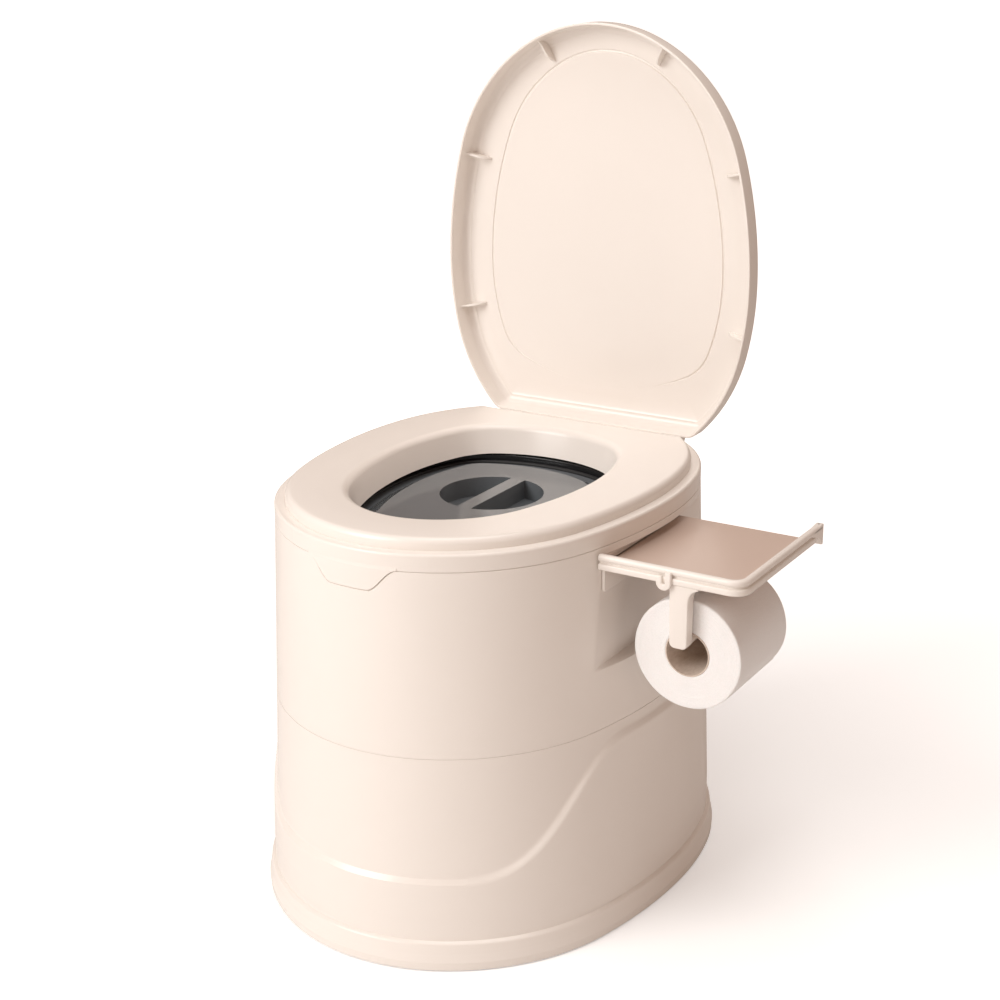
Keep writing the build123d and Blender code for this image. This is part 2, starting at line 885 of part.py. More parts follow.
def make_bucket():
    ledge_z = bucket_rim_top - bucket_ledge_drop
    floor_z = bucket_rim_top - bucket_depth
    low = -bucket_ledge_width - bucket_draft
    body = ring(
        mouth,
        [
            (bucket_rim_width, shelf_top),
            (bucket_rim_width, bucket_rim_top, 1.0),
            (0.0, bucket_rim_top, 1.0),
            (0.0, ledge_z),
            (-bucket_ledge_width, ledge_z),
            (low, floor_z + bucket_wall),
            (low, floor_z),
            (low + bucket_wall, floor_z, 2.5),
            (bucket_wall - bucket_ledge_width, ledge_z - 1.5 * bucket_wall),
            (bucket_wall, ledge_z - bucket_wall / 2),
            (bucket_wall, shelf_top),
        ],
    )
    bucket = body + plan_solid(mouth, low + 1.0, floor_z, floor_z + bucket_wall)
    for side in (-1, 1):
        bucket += bail_ear(side)
    return bucket


def bail_x():
    return bucket_half_width + bucket_rim_width - bail_inset


def bail_z():
    return bucket_rim_top + grip_radius + grip_lift


def bail_pivot_y():
    return bucket_widest_y - bail_ear_width


def bail_ear(side):
    """Ear on the bucket's rim, with the hole that a bail end turns in."""
    outer = bail_x() - bail_radius - bail_ear_gap
    inner = outer - bail_ear_thickness
    x_span = sorted((side * inner, side * outer))
    y_span = (bail_pivot_y() - bail_ear_width / 2, bail_pivot_y() + bail_ear_width / 2)
    ear = block(x_span, y_span, (bucket_rim_top - 1.0, bail_z() + 2 * bail_radius))
    start = (side * (inner - 1.0), bail_pivot_y(), bail_z())
    return ear - rod(start, (side, 0, 0), outer - inner + 2.0, bail_radius + fastener_gap)


def bail_arcs():
    """Arcs of the bucket's mouth from its widest point to the rear."""
    return [arc for arc in mouth[0] if arc[3] >= 0]


def round_bar(arc, radius, bore=0.0):
    """Round bar that follows one arc of the bucket's mouth at the bail's height."""
    x, y, arc_radius, start, end = arc
    reach = arc_radius + bucket_rim_width - bail_inset
    c, s = turned(start)
    place = Plane(origin=(x + reach * c, y + reach * s, bail_z()), x_dir=(c, s, 0), z_dir=(s, -c, 0))
    profile = place * Circle(radius)
    if bore:
        profile -= place * Circle(bore)
    return revolve(profile, Axis((x, y, 0), (0, 0, 1)), end - start)


def make_bail():
    """Wire bail, folded back along the rim from one ear to the other."""
    half = None
    for arc in bail_arcs():
        bar = round_bar(arc, bail_radius)
        half = bar if half is None else half + bar
    z = bail_z()
    tip = bail_x() - bail_ear_thickness - 2 * bail_radius
    corners = [(tip, bail_pivot_y(), z), (bail_x(), bail_pivot_y(), z), (bail_x(), bucket_widest_y, z)]
    path = FilletPolyline(*corners, radius=2 * bail_radius)
    profile = Plane(origin=corners[0], z_dir=(1, 0, 0)) * Circle(bail_radius)
    half += sweep(profile, path)
    return half + mirror(half, about=Plane.YZ)


def make_bail_grip():
    x, y, radius, start, end = bail_arcs()[-1]
    half = round_bar((x, y, radius, end - grip_turn, end), grip_radius, bail_radius + fastener_gap)
    return half + mirror(half, about=Plane.YZ)


def make_bucket_lid():
    plate_bottom = bucket_rim_top - bucket_ledge_drop
    plate_top = plate_bottom + lid_plate_thickness
    plateau_top = plate_top + plateau_rise
    edge = -seal_width - core_gap
    slope_foot = edge - plateau_inset / 3
    lid = plan_solid(mouth, edge, plate_bottom, plate_top)
    lid += plan_solid(mouth, slope_foot, plate_top - 0.5, plateau_top, edge - plateau_inset)
    inner_foot = slope_foot - well_wall
    inner_top = edge - plateau_inset - well_wall
    lid -= plan_solid(mouth, inner_foot, plate_bottom - 1.0, plateau_top - well_wall, inner_top)
    cup_bottom = plateau_top - well_depth - well_wall
    lid += rod((0, well_y, cup_bottom), (0, 0, 1), plateau_top - cup_bottom, well_radius + well_wall)
    well = rod((0, well_y, cup_bottom + well_wall), (0, 0, 1), well_depth + 1.0, well_radius)
    far = 2 * well_radius
    half = grip_bar_width / 2
    bar = block((-half, half), (well_y - far, well_y + far), (cup_bottom, plateau_top))
    lid -= well - bar
    return lid


def make_bucket_lid_seal():
    bottom = bucket_rim_top - bucket_ledge_drop
    outer = -2 * core_gap
    return ring(
        mouth,
        [
            (outer, bottom),
            (outer, bottom + seal_height, 1.2),
            (-seal_width, bottom + seal_height, 1.2),
            (-seal_width, bottom),
        ],
    )


def tray_start():
    return recess_x + tray_gap


def tray_outline(inset, bottom, top, back):
    """Tray plan with its rounded outer corner, drawn in by inset from the front and the outer side."""
    corner = tray_corner - inset
    x0 = tray_start()
    x1 = tray_outer - inset
    y0 = tray_front + inset
    edges = [
        Line((x0, back), (x0, y0)),
        Line((x0, y0), (x1 - corner, y0)),
        CenterArc((x1 - corner, y0 + corner), corner, -90, 90),
        Line((x1, y0 + corner), (x1, back)),
        Line((x1, back), (x0, back)),
    ]
    return extrude(Pos(0, 0, bottom) * make_face(edges), top - bottom)


def rail(bottom, top, inset, back):
    """Bar along the tray's front and outer side."""
    outer = tray_outline(inset, bottom, top, back)
    inner = tray_outline(rail_width, bottom - 1.0, top + 1.0, back + 1.0)
    x_span = (tray_start() - 1.0, tray_start() + 1.0)
    inner += block(x_span, (tray_front + rail_width, back + 1.0), (bottom - 1.0, top + 1.0))
    return outer - inner


def make_shelf_tray():
    x0 = tray_start()
    bottom = tray_floor_top - tray_floor_thickness
    lip_top = rail_top - rail_lip_drop + rail_height
    bar = rail(rail_top - rail_height, rail_top, 0.0, rail_end_y)
    tops = [e for e in bar.edges() if abs(e.center().Z - rail_top) < 0.01 and e.length > 2 * rail_width]
    tray = fillet(tops, rail_height * 0.36)
    tray += rail(lip_top - 0.5, rail_top - rail_height + 0.5, rail_groove, tray_back)
    tray += rail(bottom, lip_top, 0.0, tray_back)
    tray += tray_outline(rail_width - 1.0, bottom, tray_floor_top, tray_back)
    end = [
        (rail_end_y - 2 * rail_end_length, rail_top - rail_height / 2),
        (rail_end_y - rail_end_length, rail_top - rail_end_drop / 2),
        (rail_end_y, rail_top - rail_end_drop),
        (rail_end_y + rail_end_length / 4, rail_top - rail_end_drop),
        (rail_end_y + rail_end_length / 4, rail_top),
    ]
    tray += side_slab(end, tray_outer - rail_width / 2, rail_width)
    z_span = (tray_floor_top - mount_plate_drop, tray_floor_top)
    tray += block((x0, x0 + wall), (tray_front + rail_width, tray_back), z_span)
    for y in peg_ys:
        peg = peg_box(y, 0.0)
        low = peg.bounding_box().min
        claw_x = (low.X, recess_x - wall - tray_gap)
        claw_y = (y - peg_width / 2, y + peg_width / 2)
        tray += peg + block(claw_x, claw_y, (low.Z - peg_hook, low.Z + 1.0))
    for x, y in arm_screw_points():
        tray -= rod((x, y, bottom - 1.0), (0, 0, 1), tray_floor_thickness, screw_radius + fastener_gap)
    return tray + rail_hook()


def rail_hook():
    """Small U-shaped hook on the front of the rail, clear of the arm behind it."""
    middle = rail_top - rail_lip_drop + hook_proud / 2
    front = tray_front - hook_proud
    back = arm_front_y() - hook_gap
    place = Plane(origin=(hook_x, back, middle), x_dir=(1, 0, 0), z_dir=(0, -1, 0))
    ring_face = Circle(hook_radius) - Circle(hook_slit / 2)
    bow = place * (ring_face - Pos(0, hook_radius) * Rectangle(2 * hook_radius, 2 * hook_radius))
    hook = extrude(bow, back - front)
    left = (hook_x - hook_radius, hook_x - hook_slit / 2)
    right = (hook_x + hook_slit / 2, hook_x + hook_radius)
    hook += block(left, (front, back), (middle, middle + rail_height))
    hook += block(right, (front, back), (middle, rail_top - rail_height / 2))
    return hook


def spindle_z():
    return roll_z + core_inner - spindle_gap - spindle_radius


def arm_front_y():
    return roll_front - arm_front_gap - arm_depth


def arm_screw_points():
    y = arm_front_y() + arm_depth + arm_screw_spacing / 2
    return [(arm_x - arm_screw_spacing / 2, y), (arm_x + arm_screw_spacing / 2, y)]


def make_roll_arm():
    pad_top = tray_floor_top - tray_floor_thickness
    pad_low = pad_top - arm_pad_thickness
    y0 = arm_front_y()
    half = arm_width / 2
    wide = arm_pad_length / 2
    post = block((arm_x - half, arm_x + half), (y0, y0 + arm_depth), (spindle_z() - spindle_radius, pad_top))
    low = [e for e in post.edges().filter_by(Axis.Y) if e.center().Z < pad_low]
    arm = fillet(low, arm_end_round)
    arm += block((arm_x - wide, arm_x + wide), (y0 + rail_width, y0 + arm_pad_length), (pad_low, pad_top))
    reach = arm_depth + arm_front_gap + roll_length + spindle_overhang
    arm += rod((roll_x, y0, spindle_z()), (0, 1, 0), reach, spindle_radius)
    web = [(arm_x + half - 1.0, pad_low), (arm_x + wide, pad_low), (arm_x + half - 1.0, pad_low - half)]
    place = Plane(origin=(0, y0 + arm_depth, 0), x_dir=(1, 0, 0), z_dir=(0, -1, 0))
    arm += extrude(place * make_face(Polyline(*web, close=True)), arm_depth - hook_proud)
    for x, y in arm_screw_points():
        arm -= rod((x, y, pad_low - 1.0), (0, 0, 1), arm_pad_thickness + 2.0, screw_radius + fastener_gap)
    return arm


def make_arm_screws():
    z = tray_floor_top - tray_floor_thickness - arm_pad_thickness
    length = arm_pad_thickness + tray_floor_thickness - 1.5
    return together([screw((x, y, z), (0, 0, 1), length) for x, y in arm_screw_points()])


def tube(outer, inner):
    start = (roll_x, roll_front, roll_z)
    return rod(start, (0, 1, 0), roll_length, outer) - rod(start, (0, 1, 0), roll_length, inner)


def make_roll_core():
    return tube(core_inner + core_wall, core_inner)


def make_paper_roll():
    return tube(roll_radius, core_inner + core_wall + core_gap)


parts = {}
parts["lower_shell"] = make_lower_shell()
parts["upper_shell"] = make_upper_shell()
parts["base_plate"] = make_base_plate()
parts["rubber_feet"] = make_rubber_feet()
parts["base_screws"] = make_base_screws()
parts["shell_screws"] = make_shell_screws()
parts["seat_frame"] = make_seat_frame()
parts["seat_ring"] = make_seat_ring()
parts["seat_screws"] = make_seat_screws()
parts["seat_bumpers"] = make_seat_bumpers()
parts["lid"] = make_lid()
parts["seat_hinge_pin_left"] = make_seat_hinge_pin(-1)
parts["seat_hinge_pin_right"] = make_seat_hinge_pin(1)
parts["lid_hinge_pin_left"] = make_lid_hinge_pin(-1)
parts["lid_hinge_pin_right"] = make_lid_hinge_pin(1)
parts["bucket"] = make_bucket()
parts["bucket_bail"] = make_bail()
parts["bail_grip"] = make_bail_grip()
parts["bucket_lid"] = make_bucket_lid()
parts["bucket_lid_seal"] = make_bucket_lid_seal()
parts["shelf_tray"] = make_shelf_tray()
parts["roll_arm"] = make_roll_arm()
parts["arm_screws"] = make_arm_screws()
parts["roll_core"] = make_roll_core()
parts["paper_roll"] = make_paper_roll()

os.makedirs("parts", exist_ok=True)
for name, shape in parts.items():
    export_step(shape, f"parts/{name}.step")
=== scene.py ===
import math

import bmesh
import bpy
import numpy as np
from mathutils import Matrix, Vector


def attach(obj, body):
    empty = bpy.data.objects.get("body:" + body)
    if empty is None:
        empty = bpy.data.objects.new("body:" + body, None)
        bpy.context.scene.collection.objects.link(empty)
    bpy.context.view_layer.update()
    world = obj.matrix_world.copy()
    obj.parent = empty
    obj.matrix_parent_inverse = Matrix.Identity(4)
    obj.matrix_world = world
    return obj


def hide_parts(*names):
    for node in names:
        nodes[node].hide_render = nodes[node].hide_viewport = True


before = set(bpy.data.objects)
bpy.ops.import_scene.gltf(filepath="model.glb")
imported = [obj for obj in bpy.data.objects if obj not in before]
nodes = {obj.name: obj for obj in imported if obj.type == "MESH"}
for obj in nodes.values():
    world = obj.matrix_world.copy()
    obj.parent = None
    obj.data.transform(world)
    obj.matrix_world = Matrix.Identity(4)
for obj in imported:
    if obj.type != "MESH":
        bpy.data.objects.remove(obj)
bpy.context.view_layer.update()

MM = 0.001

# Plan of the casing and heights, in millimetres, as in the solid model
HALF_WIDTH, FRONT, REAR, WIDEST = 180.0, 228.0, 204.0, 24.0
FRONT_SIDE_R, REAR_SIDE_R = 457.0, 330.0
FRONT_END_TURN, FRONT_SIDE_TURN, REAR_SIDE_TURN = 27.0, 74.6, 13.0
REAR_FLAT, REAR_CORNER = 96.0, 20.0
RIM_TOP, MID_SEAM = 374.0, 203.0
SEAM_FLARE = 6.4
DECK_TOP, SEAT_TOP = 390.0, 401.0
LID_AXIS_Y, LID_AXIS_Z = 193.5, 381.5


def smooth(t):
    t = np.clip(t, 0.0, 1.0)
    return t * t * (3.0 - 2.0 * t)


def turned(angle):
    return math.cos(math.radians(angle)), math.sin(math.radians(angle))


def end_radii(half_width, length, side_radius, end_turn, side_turn):
    c1, s1 = turned(end_turn)
    c2, s2 = turned(side_turn)
    across = half_width - side_radius * (1 - s2)
    along = length - side_radius * c2
    scale = s1 * (c1 - c2) - (s2 - s1) * (1 - c1)
    return (across * (c1 - c2) - (s2 - s1) * along) / scale, (s1 * along - (1 - c1) * across) / scale


def quarter(half_width, length, side_radius, end_turn, side_turn, cy):
    end, corner = end_radii(half_width, length, side_radius, end_turn, side_turn)
    c, s = turned(90 - side_turn)
    sx = half_width - side_radius
    reach = side_radius - corner
    return [
        (0.0, cy - length + end, end, -90.0, end_turn - 90),
        (sx + reach * c, cy - reach * s, corner, end_turn - 90, side_turn - 90),
        (sx, cy, side_radius, side_turn - 90, 0.0),
    ]


def egg(half_width, front, rear, cy, side_radius, end_turn=25.0, side_turn=70.0):
    """Arcs of the right half of an egg-shaped plan, from the front tip to the rear tip."""
    fl, rl = front + cy, rear - cy
    arcs = quarter(half_width, fl, side_radius, end_turn, side_turn, cy)
    for x, y, r, a, b in reversed(quarter(half_width, rl, side_radius * rl / fl, end_turn, side_turn, cy)):
        arcs.append((x, 2 * cy - y, r, -b, -a))
    return arcs, None


def casing(inset=0.0, rear=REAR, corner=REAR_CORNER):
    """Arcs of the casing's right half, with a flat rear at this y where the plan is drawn in by inset."""
    arcs = quarter(HALF_WIDTH, FRONT + WIDEST, FRONT_SIDE_R, FRONT_END_TURN, FRONT_SIDE_TURN, WIDEST)
    u = turned(REAR_SIDE_TURN)
    sx = HALF_WIDTH - REAR_SIDE_R
    v = (REAR_FLAT - sx, REAR - REAR_CORNER - WIDEST)
    reach = REAR_SIDE_R - REAR_CORNER
    dot = v[0] * u[0] + v[1] * u[1]
    step = (v[0] ** 2 + v[1] ** 2 - reach ** 2) / (2 * (dot - reach))
    bx, by, br = sx + step * u[0], WIDEST + step * u[1], REAR_SIDE_R - step
    flat_y = rear + inset
    r = corner + inset
    cy = flat_y - r
    cx = bx + math.sqrt((br - r) ** 2 - (cy - by) ** 2)
    meet = math.degrees(math.atan2(cy - by, cx - bx))
    arcs.append((sx, WIDEST, REAR_SIDE_R, 0.0, REAR_SIDE_TURN))
    arcs.append((bx, by, br, REAR_SIDE_TURN, meet))
    arcs.append((cx, cy, r, meet, 90.0))
    return arcs, flat_y


def stations(plan, step=3.0, front_step=None, corner_step=4.0):
    """Points (x, y, nx, ny) round a closed plan, anticlockwise from the front tip."""
    arcs, flat_y = plan
    half = []
    for k, (x, y, r, a, b) in enumerate(arcs):
        length = math.radians(b - a) * r
        pitch = front_step if (k == 0 and front_step) else step
        count = max(3, int(math.ceil(length / pitch)), int(math.ceil((b - a) / corner_step)))
        for i in range(count):
            c, s = turned(a + (b - a) * i / count)
            half.append((x + r * c, y + r * s, c, s))
    x, y, r, a, b = arcs[-1]
    c, s = turned(b)
    half.append((x + r * c, y + r * s, c, s))
    if flat_y is not None:
        count = max(2, int(half[-1][0] / step))
        x_end = half[-1][0]
        for i in range(1, count + 1):
            half.append((x_end * (1 - i / count), flat_y, 0.0, 1.0))
    left = [(-x, y, -nx, ny) for x, y, nx, ny in reversed(half[1:-1])]
    return np.array(half + left)


def rounded(corners, steps=6, closed=True):
    """Profile points from (a, b) or (a, b, radius) corners."""
    pts = []
    n = len(corners)
    for i, corner in enumerate(corners):
        here = np.array(corner[:2], float)
        ends = not closed and i in (0, n - 1)
        if len(corner) < 3 or ends:
            pts.append(tuple(here))
            continue
        p = np.array(corners[i - 1][:2], float) - here
        q = np.array(corners[(i + 1) % n][:2], float) - here
        p /= np.linalg.norm(p)
        q /= np.linalg.norm(q)
        half = math.acos(max(-1.0, min(1.0, float(p @ q)))) / 2
        cut = corner[2] / math.tan(half)
        mid = (p + q) / np.linalg.norm(p + q)
        centre = here + mid * corner[2] / math.sin(half)
        a, b = here + p * cut - centre, here + q * cut - centre
        total = math.acos(max(-1.0, min(1.0, float(a @ b) / (corner[2] ** 2))))
        for k in range(steps + 1):
            t = k / steps
            w = (math.sin((1 - t) * total) * a + math.sin(t * total) * b) / math.sin(total)
            pts.append(tuple(centre + w))
    return pts


SHARP = 32.0


def mesh_object(name, verts, faces, sharp=SHARP):
    mesh = bpy.data.meshes.new(name)
    mesh.from_pydata([tuple(v) for v in np.asarray(verts) * MM], [], faces)
    bm = bmesh.new()
    bm.from_mesh(mesh)
    bmesh.ops.remove_doubles(bm, verts=bm.verts, dist=1e-6)
    bmesh.ops.recalc_face_normals(bm, faces=bm.faces)
    bm.to_mesh(mesh)
    bm.free()
    mesh.shade_smooth()
    mesh.set_sharp_from_angle(angle=math.radians(sharp))
    obj = bpy.data.objects.new(name, mesh)
    bpy.context.scene.collection.objects.link(obj)
    return obj


def grid_faces(n, m, around=True, along=True):
    faces = []
    for i in range(n if around else n - 1):
        for j in range(m if along else m - 1):
            a, b = i, (i + 1) % n
            c, d = j, (j + 1) % m
            faces.append((a * m + c, b * m + c, b * m + d, a * m + d))
    return faces


def loop_solid(name, path, profile, warp=None):
    """Closed ring: a closed profile of (out, z) carried round a closed plan."""
    prof = np.array(profile)
    n, m = len(path), len(prof)
    out = np.repeat(prof[None, :, 0], n, 0)
    z = np.repeat(prof[None, :, 1], n, 0)
    x = path[:, 0:1] + path[:, 2:3] * out
    y = path[:, 1:2] + path[:, 3:4] * out
    verts = np.stack([x, y, z], 2)
    if warp:
        verts = warp(verts, path, out)
    return mesh_object(name, verts.reshape(-1, 3), grid_faces(n, m))


def rows_solid(name, rows, sharp=SHARP, place=None):
    """Closed skin through rows of points round a plan, with a fan at its first and last row."""
    verts = np.stack(rows, 1)
    n, m = verts.shape[:2]
    verts = verts.reshape(-1, 3)
    faces = grid_faces(n, m, True, False)
    first = np.mean(rows[0], 0)
    last = np.mean(rows[-1], 0)
    k = len(verts)
    verts = np.vstack([verts, first[None], last[None]])
    for i in range(n):
        b = (i + 1) % n
        faces.append((i * m, b * m, k))
        faces.append((b * m + m - 1, i * m + m - 1, k + 1))
    if place is not None:
        verts = place(verts)
    return mesh_object(name, verts, faces, sharp)


def swept(name, frames, profile):
    """Bar with capped ends: a closed profile carried along frames (point, side vector, up vector)."""
    prof = np.array(profile)
    m = len(prof)
    verts = []
    for point, side, up in frames:
        verts.append(np.array(point) + prof[:, 0:1] * np.array(side) + prof[:, 1:2] * np.array(up))
    n = len(frames)
    faces = grid_faces(n, m, False, True)
    faces.append(tuple(range(m - 1, -1, -1)))
    faces.append(tuple((n - 1) * m + j for j in range(m)))
    return mesh_object(name, np.vstack(verts), faces)


def slab(name, outline, origin, u, v, thickness, bevel=0.5, segments=3):
    """Plate with a 2D outline in the plane (origin, u, v), centred on it, with rounded edges."""
    u, v, origin = np.array(u, float), np.array(v, float), np.array(origin, float)
    w = np.cross(u, v)
    pts = np.array(outline)
    flat = origin + pts[:, 0:1] * u + pts[:, 1:2] * v
    verts = np.vstack([flat - w * thickness / 2, flat + w * thickness / 2])
    n = len(pts)
    faces = [tuple(range(n - 1, -1, -1)), tuple(range(n, 2 * n))]
    for i in range(n):
        j = (i + 1) % n
        faces.append((i, j, n + j, n + i))
    obj = mesh_object(name, verts, faces)
    if bevel:
        mod = obj.modifiers.new("edges", "BEVEL")
        mod.width = bevel * MM
        mod.segments = segments
        mod.limit_method = "ANGLE"
        mod.angle_limit = math.radians(35)
        mod.use_clamp_overlap = True
    return obj


def joined(name, objects):
    """One object from several, with their modifiers applied."""
    bpy.context.view_layer.update()
    graph = bpy.context.evaluated_depsgraph_get()
    bm = bmesh.new()
    for obj in objects:
        mesh = bpy.data.meshes.new_from_object(obj.evaluated_get(graph))
        mesh.transform(obj.matrix_world)
        bm.from_mesh(mesh)
        bpy.data.meshes.remove(mesh)
    mesh = bpy.data.meshes.new(name)
    bm.to_mesh(mesh)
    bm.free()
    mesh.shade_smooth()
    mesh.set_sharp_from_angle(angle=math.radians(SHARP))
    for obj in objects:
        bpy.data.objects.remove(obj)
    obj = bpy.data.objects.new(name, mesh)
    bpy.context.scene.collection.objects.link(obj)
    return obj


def curve_points(p0, p1, p2, p3, count=16):
    t = np.linspace(0, 1, count + 1)[:, None]
    p0, p1, p2, p3 = (np.array(p, float) for p in (p0, p1, p2, p3))
    return (1 - t) ** 3 * p0 + 3 * (1 - t) ** 2 * t * p1 + 3 * (1 - t) * t ** 2 * p2 + t ** 3 * p3


def ring_at(path, out, z):
    """Points of a plan moved outward, at one height."""
    p = path[:, :2] + path[:, 2:4] * out
    return np.column_stack([p, np.full(len(p), z)])


def bearing(points, centre):
    return np.arctan2(points[:, 1] - centre[1], points[:, 0] - centre[0])


def matched(path, out, z, want, centre):
    """Ring of a plan, resampled so that its points face the wanted directions from the centre."""
    pts = path[:, :2] + path[:, 2:4] * out
    turn = bearing(pts, centre)
    order = np.argsort(turn)
    turn, pts = turn[order], pts[order]
    turn = np.concatenate([turn - 2 * math.pi, turn, turn + 2 * math.pi])
    pts = np.vstack([pts, pts, pts])
    x, y = np.interp(want, turn, pts[:, 0]), np.interp(want, turn, pts[:, 1])
    return np.column_stack([x, y, np.full(len(want), z)])


def press_in(verts, path, zone, depth):
    """Move the points of a zone in along the plan's normals."""
    for axis in (0, 1):
        normal = np.repeat(path[:, 2 + axis:3 + axis], verts.shape[1], 1)
        verts[:, :, axis][zone] -= normal[zone] * depth
    return verts


def wall_flare(z):
    return (RIM_TOP - z) * SEAM_FLARE / (RIM_TOP - MID_SEAM)


def principled(name, color, roughness, **extra):
    mat = bpy.data.materials.new(name)
    mat.use_nodes = True
    tree = mat.node_tree
    shader = tree.nodes["Principled BSDF"]
    shader.inputs["Base Color"].default_value = (*color, 1.0)
    shader.inputs["Roughness"].default_value = roughness
    for key, value in extra.items():
        shader.inputs[key.replace("_", " ")].default_value = value
    return mat, tree, shader


def noise(tree, scale, detail, stretch=(1, 1, 1)):
    """Noise in the object's own coordinates."""
    coords = tree.nodes.new("ShaderNodeTexCoord")
    mapping = tree.nodes.new("ShaderNodeMapping")
    mapping.inputs["Scale"].default_value = stretch
    tree.links.new(coords.outputs["Object"], mapping.inputs["Vector"])
    node = tree.nodes.new("ShaderNodeTexNoise")
    node.inputs["Scale"].default_value = scale
    node.inputs["Detail"].default_value = detail
    tree.links.new(mapping.outputs["Vector"], node.inputs["Vector"])
    return node


def ramp(tree, source, stops):
    node = tree.nodes.new("ShaderNodeValToRGB")
    tree.links.new(source, node.inputs["Fac"])
    while len(node.color_ramp.elements) < len(stops):
        node.color_ramp.elements.new(0.5)
    for element, (at, color) in zip(node.color_ramp.elements, stops):
        element.position = at
        element.color = (*color, 1.0)
    return node


def bumps(tree, shader, parts):
    """Chain of bumps from (height output, strength, distance)."""
    last = None
    for height, strength, distance in parts:
        node = tree.nodes.new("ShaderNodeBump")
        node.inputs["Strength"].default_value = strength
        node.inputs["Distance"].default_value = distance
        tree.links.new(height, node.inputs["Height"])
        if last is not None:
            tree.links.new(last.outputs["Normal"], node.inputs["Normal"])
        last = node
    tree.links.new(last.outputs["Normal"], shader.inputs["Normal"])


def vary_roughness(tree, shader, source, low, high):
    node = tree.nodes.new("ShaderNodeMapRange")
    node.inputs["To Min"].default_value = low
    node.inputs["To Max"].default_value = high
    tree.links.new(source, node.inputs["Value"])
    tree.links.new(node.outputs["Result"], shader.inputs["Roughness"])


def shade(color, factor):
    return tuple(min(1.0, c * factor) for c in color)


def moulded(name, color, low, high, grain=0.10, spread=0.03, peel=0.06):
    """Moulded plastic: faint tone drift, fine grain and orange peel, roughness that wanders."""
    mat, tree, shader = principled(name, color, (low + high) / 2)
    drift = noise(tree, 5.0, 4.0)
    stops = [(0.3, shade(color, 1 - spread)), (0.7, shade(color, 1 + spread))]
    tone = ramp(tree, drift.outputs["Fac"], stops)
    tree.links.new(tone.outputs["Color"], shader.inputs["Base Color"])
    rub = noise(tree, 28.0, 5.0)
    vary_roughness(tree, shader, rub.outputs["Fac"], low, high)
    fine = noise(tree, 1400.0, 1.0)
    waves = noise(tree, 160.0, 1.0)
    bumps(tree, shader, [(fine.outputs["Fac"], grain, 0.00005), (waves.outputs["Fac"], peel, 0.00015)])
    return mat


CREAM = (0.885, 0.835, 0.785)
cream = moulded("cream_plastic", CREAM, 0.20, 0.29, spread=0.012)
cream_dull = moulded("cream_plastic_inside", shade(CREAM, 0.97), 0.34, 0.46, grain=0.2)
# Tray floor: cream darkened to a warm tan, painted shade standing in for the shade that falls on the sunken
# floor beside the casing.
tan = moulded("tray_floor_painted_shade", (0.62, 0.49, 0.42), 0.27, 0.29, grain=0.04, spread=0.008, peel=0.02)
black = moulded("black_plastic", (0.012, 0.012, 0.013), 0.16, 0.28, spread=0.12)
smoke = moulded("smoke_plastic", (0.140, 0.154, 0.166), 0.07, 0.15, grain=0.03, spread=0.06, peel=0.03)
rubber = moulded("rubber", (0.016, 0.016, 0.017), 0.5, 0.68, grain=0.5, spread=0.15)


def make_steel():
    mat, tree, shader = principled("screw_steel", (0.6, 0.6, 0.6), 0.3, Metallic=1.0)
    brushed = noise(tree, 900.0, 3.0, stretch=(1, 1, 12))
    bumps(tree, shader, [(brushed.outputs["Fac"], 0.25, 0.0001)])
    blot = noise(tree, 60.0, 4.0)
    vary_roughness(tree, shader, blot.outputs["Fac"], 0.22, 0.42)
    tone = ramp(tree, blot.outputs["Fac"], [(0.3, (0.55, 0.55, 0.55)), (0.7, (0.64, 0.64, 0.63))])
    tree.links.new(tone.outputs["Color"], shader.inputs["Base Color"])
    return mat


def make_tissue(name, ends):
    """Creped white paper. The ends show the edges of the turns as fine rings."""
    mat, tree, shader = principled(name, (0.90, 0.895, 0.885), 0.85)
    shader.inputs["Sheen Weight"].default_value = 0.25
    shader.inputs["Sheen Roughness"].default_value = 0.5
    shader.inputs["Subsurface Weight"].default_value = 0.12
    shader.inputs["Subsurface Radius"].default_value = (0.004, 0.003, 0.003)
    fibre = noise(tree, 900.0, 5.0)
    tone = ramp(tree, fibre.outputs["Fac"], [(0.25, (0.92, 0.915, 0.91)), (0.75, (0.975, 0.97, 0.97))])
    tree.links.new(tone.outputs["Color"], shader.inputs["Base Color"])
    if ends:
        coords = tree.nodes.new("ShaderNodeTexCoord")
        mapping = tree.nodes.new("ShaderNodeMapping")
        mapping.inputs["Location"].default_value = (-0.248, 0.0, -0.288)
        tree.links.new(coords.outputs["Object"], mapping.inputs["Vector"])
        rings = tree.nodes.new("ShaderNodeTexWave")
        rings.wave_type = "RINGS"
        rings.rings_direction = "Y"
        rings.inputs["Scale"].default_value = 260.0
        rings.inputs["Distortion"].default_value = 1.2
        rings.inputs["Detail"].default_value = 3.0
        tree.links.new(mapping.outputs["Vector"], rings.inputs["Vector"])
        bumps(tree, shader, [(rings.outputs["Fac"], 0.5, 0.0003), (fibre.outputs["Fac"], 0.5, 0.0004)])
    else:
        crepe = noise(tree, 420.0, 4.0, stretch=(1, 0.25, 1))
        bumps(tree, shader, [(crepe.outputs["Fac"], 0.55, 0.0005), (fibre.outputs["Fac"], 0.4, 0.0003)])
    return mat


def make_cardboard():
    mat, tree, shader = principled("cardboard", (0.66, 0.56, 0.48), 0.8)
    fibre = noise(tree, 500.0, 6.0, stretch=(1, 0.3, 1))
    tone = ramp(tree, fibre.outputs["Fac"], [(0.2, (0.58, 0.48, 0.40)), (0.8, (0.74, 0.64, 0.56))])
    tree.links.new(tone.outputs["Color"], shader.inputs["Base Color"])
    bumps(tree, shader, [(fibre.outputs["Fac"], 0.5, 0.0003)])
    return mat


steel = make_steel()
tissue = make_tissue("tissue", False)
tissue_ends = make_tissue("tissue_ends", True)
cardboard = make_cardboard()

